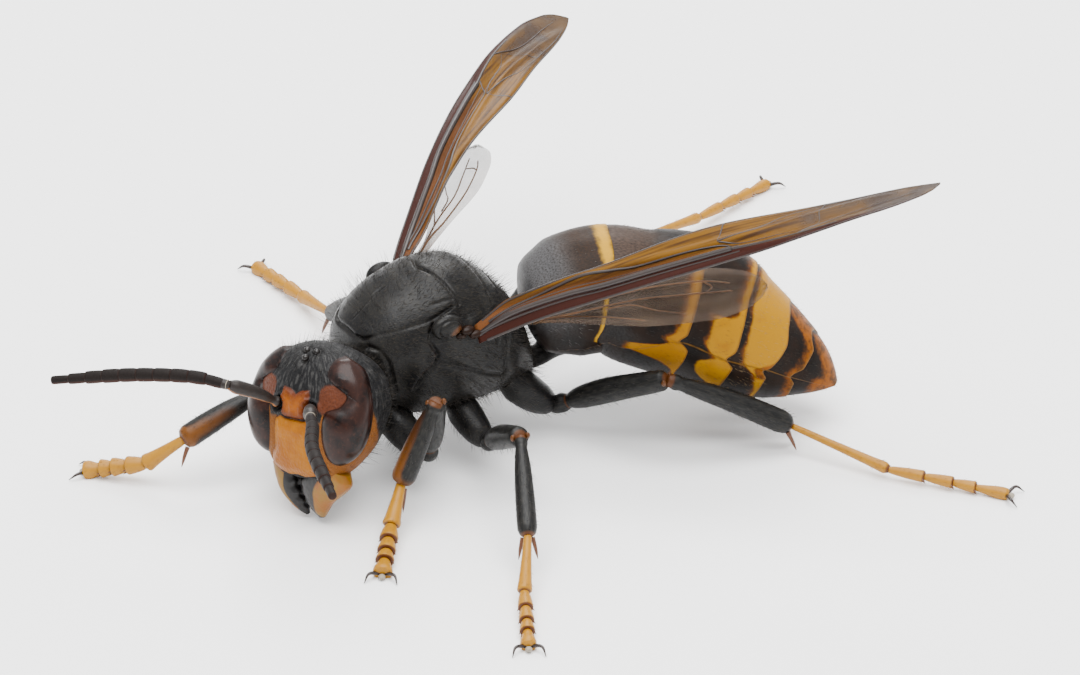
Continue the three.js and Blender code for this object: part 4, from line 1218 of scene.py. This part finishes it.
def paintHind(made, cloud, along):
    tone = made.mix(made.step(cloud, 0.3, 0.7), "clear", "cloud")
    tone = made.mix(made.step(along, 0.35, 0.05), tone, "root")
    return tone, made.step(along, 0.4, 0.0) * 0.25 + (cloud * 0.12 + 0.3)


def membrane(name, paint, tones):
    made = Finish(name, tones, IOR=1.4, Specular_IOR_Level=0.14)
    place = made.place()
    cloud = made.noise(place, 0.9, 3.0)
    tone, alpha = paint(made, cloud, made.lay(1))
    made.feed("Alpha", alpha)
    return made.done(tone, cloud * 0.15 + 0.28,
                     (made.strands(14.0, 240.0), 0.22, 0.01), (made.noise(place, 3.0), 0.25, 0.04))


wingFinishes = {
    "fore": membrane("foreMembrane", paintFore, {
        "amber": (0.125, 0.054, 0.003), "streak": (0.034, 0.013, 0.002), "rust": (0.11, 0.034, 0.003),
        "darkRust": (0.034, 0.012, 0.004), "root": (0.1, 0.035, 0.01), "smoke": (0.066, 0.033, 0.01),
        "darkSmoke": (0.026, 0.012, 0.005), "strip": (0.036, 0.008, 0.004),
        "darkStrip": (0.014, 0.004, 0.003),
    }),
    "hind": membrane("hindMembrane", paintHind, {
        "clear": (0.14, 0.1, 0.07), "cloud": (0.085, 0.06, 0.045), "root": (0.12, 0.05, 0.01),
    }),
    "foreVein": plain("foreVein", (0.004, 0.003, 0.003), (0.02, 0.008, 0.005), 0.25, 1.2),
    "hindVein": plain("hindVein", (0.07, 0.024, 0.005), (0.14, 0.055, 0.01), 0.3, 1.2),
}


def makeWing(name, kind):
    rows, cols = 190, 56
    title = kind + "wing_" + name
    slot = "wing" if kind == "fore" else "clear_wing"
    share = np.broadcast_to(np.sin(np.pi / 2 * np.linspace(0, 1, rows))[:, None], (rows, cols))
    across = np.broadcast_to(np.linspace(-1, 1, cols)[None], (rows, cols))
    strip = (across - table(costalLine, share)) * table(foreTrail, share)
    shape = Shape("strip")
    shape.sheet(onWing(name, kind, share, across), sheetThickness, share[:, 0], strip=strip)
    settle(shape.make(title + "_sheet", [wingFinishes[kind]]), slot, title)
    points, edges, thick = [], [], []
    steps = np.linspace(0, 1, 64)
    for size, line in foreVeins if kind == "fore" else hindVeins:
        way = spline([(s, c, 0) for s, c in line])(steps)
        taper = 0.45 + 0.55 * smoothStep(steps, 0.0, 0.2) if line is strongVein else 1 - 0.45 * steps
        edges += [(len(points) + k, len(points) + k + 1) for k in range(63)]
        points += list((onWing(name, kind, way[:, 0], way[:, 1]) + ownToFrame) * metre)
        thick += list(size * taper * metre)
    line = loosePiece("veinLines", points, [], edges)
    line.data.attributes.new("thick", "FLOAT", "POINT").data.foreach_set("value", thick)
    settle(veinPath.run(line, title + "_veins", Sides=8, Finish=wingFinishes[kind + "Vein"]), slot)


growVeins()
# the small plates of the wing's joint, each with its place and its half sizes
hinges = [
    ((2.38, 0.22, 5.8), (0.22, 0.28, 0.16)), ((2.55, 0.5, 5.64), (0.16, 0.3, 0.16)),
    ((2.3, 0.02, 5.62), (0.14, 0.22, 0.14)),
]
for sideName, side in sides:
    makeWing(sideName, "fore")
    makeWing(sideName, "hind")
for sideName, side in sides:
    shape = Shape()
    for centre, size in hinges:
        shape.ball(np.array(centre) * (side, 1, 1), size)
    settle(shape.make("wingHinge_" + sideName, [finishes["hingeShell"]]), "wing")
print("wings made")


# Legs: hip, ring joint, knee, ankle, end of the first foot joint, and foot

legs = {
    "fore_left": [(1.1, -2.35, 2.75), (2.62, -1.55, 1.41), (4.06, -2.07, 4.46),
                  (3.89, -3.4, 1.56), (4.89, -4.41, 0.66), (6.74, -5.86, 0.17)],
    "fore_right": [(-1, -2.45, 2.75), (-2.66, -2.62, 1.33), (-2, -5.58, 2.93),
                   (-2.3, -8.57, 1.79), (-3.08, -9.65, 0.78), (-4.7, -11.19, 0.17)],
    "mid_left": [(1.25, 0.4, 2.45), (2.89, 0.68, 1.39), (6.1, 0.07, 3.43),
                 (9.04, -1.46, 1.46), (10.78, -2.68, 0.53), (13.25, -4.05, 0.17)],
    "mid_right": [(-1.25, 0.4, 2.45), (-3.0, 0.05, 1.5), (-5.8, 0.55, 3.0),
                  (-8.55, 1.05, 1.0), (-11.2, 1.3, 0.44), (-14.44, 1.2, 0.17)],
    "hind_left": [(1.1, 2.6, 2.6), (1.55, 4.2, 1.14), (5.19, 6.68, 3.23),
                  (6.95, 10.76, 0.98), (10.52, 12.51, 0.42), (13.77, 15.3, 0.17)],
    "hind_right": [(-1.1, 2.6, 2.6), (-2.49, 4.4, 1.9), (-5.02, 8.69, 2.94),
                   (-7.06, 13.23, 1.26), (-8.33, 16.99, 0.57), (-9.83, 21.1, 0.17)],
}
legSizes = {
    "fore": {"coxa": 0.62, "thigh": 0.45, "shin": 0.42, "toes": 0.32, "spurs": 1, "bulge": 0.05},
    "mid": {"coxa": 0.6, "thigh": 0.44, "shin": 0.34, "toes": 0.26, "spurs": 2, "bulge": 0.05},
    "hind": {"coxa": 0.66, "thigh": 0.46, "shin": 0.41, "toes": 0.21, "spurs": 2, "bulge": 0.1},
}
# thickness along each part, as a share of its size
legProfiles = {
    "coxa": [(0, 0.75), (0.3, 1.0), (0.7, 0.88), (0.93, 0.62), (1, 0.42)],
    "thigh": [(0, 0.55), (0.04, 0.72), (0.1, 0.76), (0.145, 0.62), (0.165, 0.58), (0.19, 0.7), (0.3, 0.92),
              (0.48, 1.0), (0.75, 0.92), (0.9, 0.86), (0.96, 0.8), (0.99, 0.55), (1, 0.3)],
    "shin": [(0, 0.45), (0.03, 0.62), (0.07, 0.7), (0.11, 0.6), (0.16, 0.66), (0.35, 0.86), (0.7, 1.0),
             (0.9, 1.02), (0.97, 0.85), (1, 0.5)],
    "heel": [(0, 0.42), (0.05, 0.52), (0.4, 0.66), (0.8, 0.88), (0.95, 1.0), (1, 0.6)],
    "toe": [(0, 0.58), (0.15, 0.72), (0.6, 0.94), (0.92, 1.02), (0.98, 0.92), (1, 0.7)],
    "lastToe": [(0, 0.55), (0.3, 0.78), (0.8, 1.08), (0.95, 1.0), (1, 0.65)],
    "spike": [(0, 1), (0.6, 0.7), (1, 0.12)],
    "claw": [(0, 0.075), (0.5, 0.055), (1, 0.012)],
}
toeShares = [(0.0, 0.3), (0.3, 0.54), (0.54, 0.73), (0.73, 1.0)]
upwards = (0, 0, 1)


def spike(shape, root, tip, thick, bend=0.0, rows=12, cols=10):
    up = upwards if abs(unit(tip - root)[2]) < 0.9 else (0, 1, 0)
    profile = scaled(legProfiles["spike"], thick)
    grid, _ = limbGrid([root, (root + tip) / 2 + (0, 0, bend), tip], profile, rows=rows, cols=cols, up=up)
    grid[..., 2] = np.maximum(grid[..., 2], 0.004)
    shape.grid(grid, slot=1)


def makeThigh(size, ring, knee):
    shape = Shape("knee", "hair")
    middle = ring * 0.55 + knee * 0.45 + (0, 0, 0.12)
    profile = scaled(legProfiles["thigh"], size["thigh"])
    grid, share = limbGrid([ring, middle, knee], profile, rows=90, cols=32)
    brown = np.maximum((share - 0.982) * 8, 0.1 - abs(share - 0.155) * 8)[:, None]
    shape.grid(grid, along=share, knee=brown, hair=(share < 0.93)[:, None] * 1.0)
    run = unit(knee - middle)
    across = unit(np.cross(run, upwards))
    for sideways in (-1, 1):
        centre = knee - run * 0.02 + across * sideways * size["thigh"] * 0.62
        shape.ball(centre, (0.09, 0.09, 0.12), slot=1)
    return shape


def makeShin(name, size, knee, ankle):
    shape = Shape("under", "knee", "hair")
    path = [knee, (knee + ankle) / 2 + (0, 0, size["bulge"]), ankle]
    grid, share = limbGrid(path, scaled(legProfiles["shin"], size["shin"]), rows=80, cols=32)
    front = unit((-0.4 if name.endswith("left") else 0.4, -0.9, 0.0))
    ahead = outward(grid, gridNormals(grid)) @ front
    under = smoothStep(ahead, 0.25, 0.75) * smoothStep(share, -0.1, 0.5)[:, None]
    under = under + 0.6 * smoothStep(share, 0.82, 1.0)[:, None]
    ends = np.maximum(0.045 - share, share - 0.972)[:, None] * 6
    hair = ((share > 0.1) & (share < 0.97))[:, None] * 1.0
    shape.grid(grid, along=share, knee=ends, under=under, hair=hair)
    run = unit(ankle - knee)
    across = unit(np.cross(run, upwards))
    for sideways in (-1, 1)[:size["spurs"]]:
        root = knee * 0.035 + ankle * 0.965 + across * sideways * size["shin"] * 0.5
        root = root - (0, 0, size["shin"] * 0.55)
        tip = root + run * 0.34 + across * sideways * 0.16 - (0, 0, 0.52)
        tip[2] = max(tip[2], 0.06)
        spike(shape, root, tip, 0.085, bend=0.04)
    return shape


def addToe(shape, path, profile, rows, dark):
    # a foot joint that doesn't reach below the floor; dark is where its far end starts to darken
    grid, share = limbGrid(path, profile, rows=rows, cols=24)
    grid[..., 2] = np.maximum(grid[..., 2], 0.0)
    joint = smoothStep(share, dark, 1.0)[:, None] if dark else 0.0
    shape.grid(grid, along=share, joint=joint, hair=1.0)


def makeFoot(size, knee, ankle, heel, foot):
    shape = Shape("joint", "hair")
    toes = size["toes"]
    start = ankle - unit(ankle - knee) * 0.05
    addToe(shape, [start, (ankle + heel) / 2, heel], scaled(legProfiles["heel"], toes), 60, 0.94)
    line = spline([heel, (heel + foot) / 2 + (0, 0, 0.02), foot])
    for number, shares in enumerate(toeShares):
        a, b = (line(share)[0] for share in shares)
        last = number == 3
        profile = scaled(legProfiles["lastToe" if last else "toe"], toes)
        addToe(shape, [a, (a + b) / 2, b], profile, 30, None if last else 0.84)
        run = unit(b - a)
        across = unit(np.cross(run, upwards))
        for sideways, lower in () if last else ((-1, 0.0), (-1, 0.45), (1, 0.0), (1, 0.45)):
            root = b - run * 0.1 + across * sideways * toes * (0.75 - lower * 0.5) - (0, 0, toes * lower)
            tip = root + run * 0.17 + across * sideways * 0.1 - (0, 0, 0.05)
            spike(shape, root, tip, 0.035, rows=7, cols=6)
    for sideways in (-1, 1):
        root = foot + across * sideways * 0.1 - run * 0.06
        bend = root + run * 0.22 + across * sideways * 0.34 + (0, 0, 0.12)
        tip = root + run * 0.5 + across * sideways * 0.46
        tip[2] = 0.05
        grid, _ = limbGrid([root, bend, tip], legProfiles["claw"], rows=22, cols=12)
        grid[..., 2] = np.maximum(grid[..., 2], 0.0)
        shape.grid(grid, slot=2)
    shape.ball(foot + run * 0.1 - (0, 0, 0.01), (0.12, 0.12, 0.1), slot=3)
    return shape


def makeLeg(name):
    kind = name.split("_")[0]
    size = legSizes[kind]
    hip, ring, knee, ankle, heel, foot = (np.array(joint, float) for joint in legs[name])
    black = finishes["foreLimb" if kind == "fore" else "limb"]
    coxa = Shape("hair")
    profile = scaled(legProfiles["coxa"], size["coxa"])
    coxa.limb([hip, (hip + ring) / 2 + (0, 0, -0.05), ring], profile, 44, 32, hair=1.0)
    femur, tibia = makeThigh(size, ring, knee), makeShin(name, size, knee, ankle)
    toeFinishes = [finishes[tone] for tone in ("foot", "spurShell", "clawShell", "padSkin")]
    made = {
        "coxa": coxa.make("coxa_" + name + "_shell", [finishes["shell"]]),
        "femur": femur.make("femur_" + name + "_shell", [black, finishes["kneeShell"]]),
        "tibia": tibia.make("tibia_" + name + "_shell", [black, finishes["spurShell"]]),
        "tarsus": makeFoot(size, knee, ankle, heel, foot).make("tarsus_" + name + "_toes", toeFinishes),
    }
    for part, piece in made.items():
        settle(piece, "foot" if part == "tarsus" else "limb", part + "_" + name)
    return made


legPieces = {name: makeLeg(name) for name in legs}
print("legs made")


# Hair

coatTree = Growth("coat", Tuft="Object", Density="Float", Length="Float", Thickness="Float", Stand="Float",
                  Untidy="Float", Seed="Int")


def growCoat():
    # hairs set over a skin by its hair attribute, leaning along its lie attribute
    tree = coatTree
    density = tree.stored("hair") * tree.given("Density")
    sockets = {0: tree.given("Geometry"), 4: density, 6: tree.given("Seed")}
    roots = tree.node("GeometryNodeDistributePointsOnFaces", None, sockets)
    spread = {0: (-1, -1, -1), 1: (1, 1, 1), 8: 3}
    loose = tree.node("FunctionNodeRandomValue", {"data_type": "FLOAT_VECTOR"}, spread)
    lean = tree.vector("ADD", tree.vector("SCALE", tree.beside(roots, "Normal"), tree.given("Stand")),
                       tree.vector("SCALE", loose, tree.given("Untidy")))
    lean = tree.vector("ADD", lean, tree.stored("lie", "FLOAT_VECTOR"))
    turn = tree.node("FunctionNodeAlignRotationToVector", {"axis": "Z"}, {2: lean})
    long = tree.given("Length") * tree.node("FunctionNodeRandomValue", None, {2: 0.55, 3: 1.15, 8: 5}, out=1)
    thick = tree.given("Thickness")
    size = tree.node("ShaderNodeCombineXYZ", None, {0: thick, 1: thick, 2: long})
    patch = tree.vector("SCALE", tree.stored("tuftPlace", "FLOAT_VECTOR"), 0.003)
    spot = tree.vector("ADD", tree.stored("rootPlace", "FLOAT_VECTOR"), patch)
    tree.end(tree.placed(roots, tree.given("Tuft"), turn, size), spot)


def makeTuft():
    # one hair of unit height and unit thickness, with its own small square of places
    points = []
    for height, thick, bend in ((0.0, 1.0, 0.0), (0.5, 0.75, 2.2)):
        for k in range(3):
            turn = 2 * math.pi * k / 3
            points.append((thick * math.cos(turn) + bend, thick * math.sin(turn), height))
    points.append((7.0, 0.0, 1.0))
    faces = [(2, 1, 0), (0, 1, 4, 3), (1, 2, 5, 4), (2, 0, 3, 5), (3, 4, 6), (4, 5, 6), (5, 3, 6)]
    made = loosePiece("tuft", points, faces)
    places = [((k % 3) / 2 - 0.5, point[2] - 0.5, 0) for k, point in enumerate(points)]
    store(made.data, "tuftPlace", "POINT", places)
    return made


def store(mesh, name, domain, vectors):
    flat = np.ascontiguousarray(vectors, float).ravel()
    mesh.attributes.new(name, "FLOAT_VECTOR", domain).data.foreach_set("vector", flat)


def makeCoat(name, skin, lie, slot, finish, density, length, thick, stand, untidy, seed):
    source = linked("coatSource", skin.data.copy())
    mesh = source.data
    store(mesh, "lie", "POINT", np.broadcast_to(lie, (len(mesh.vertices), 3)))
    corners = np.empty(len(mesh.loops) * 2)
    mesh.uv_layers["cells"].data.foreach_get("uv", corners)
    store(mesh, "rootPlace", "CORNER", np.pad(corners.reshape(-1, 2), ((0, 0), (0, 1))))
    piece = coatTree.run(source, name, Tuft=tuft, Finish=finishes[finish], Density=density / metre**2,
                         Length=length * metre, Thickness=thick * metre, Stand=stand, Untidy=untidy,
                         Seed=seed)
    settle(piece, slot)
    print(name, len(piece.data.polygons), "faces")


growCoat()
tuft = makeTuft()
trunkBack = np.array([0.0, 1.0, -0.15])
headBack = np.array([0.0, 0.4, 0.3])
tailBack = np.array([0.35, 0.9, -0.3])
# lie, slot, finish, density to a square millimetre, length, thickness, stand, untidiness and seed
makeCoat("velvetHair", trunkSkin, trunkBack, "shell", "brownHair", 62.0, 0.24, 0.0055, 0.5, 0.25, 11)
makeCoat("trunkBristles", trunkSkin, trunkBack * 0.3, "shell", "blackHair", 15.0, 0.66, 0.006, 1.0, 0.3, 12)
makeCoat("headVelvet", headSkin, headBack, "face", "brownHair", 44.0, 0.18, 0.0045, 0.6, 0.3, 13)
makeCoat("headBristles", headSkin, headBack, "face", "blackHair", 12.0, 0.5, 0.0055, 1.0, 0.3, 14)
for number, plate in enumerate(tailPlates):
    coat = (24.0, 0.14, 0.004) if number else (40.0, 0.18, 0.005)
    tone = {0: "greyHair", 3: "goldHair"}.get(number, "brownHair")
    name = "tailHair_" + str(number + 1)
    makeCoat(name, plate, tailBack, "banded_shell", tone, *coat, 0.3, 0.3, 20 + number)
# for each part of a leg: hair length, density, finish, slot, and the joint that the hair points to
legCoats = {
    "coxa": (0.42, 16.0, "blackHair", "limb", 3), "femur": (0.28, 16.0, "blackHair", "limb", 3),
    "tibia": (0.2, 26.0, "blackHair", "limb", 3), "tarsus": (0.12, 20.0, "kneeShell", "foot", 4),
}
for name, made in legPieces.items():
    for part, (length, density, tone, slot, joint) in legCoats.items():
        way = unit(np.array(legs[name][joint]) - np.array(legs[name][1])) * 0.8
        makeCoat(part + "Hair_" + name, made[part], way, slot, tone, density, length, 0.005, 0.5, 0.3, 40)
discard(tuft)
print("hair made")
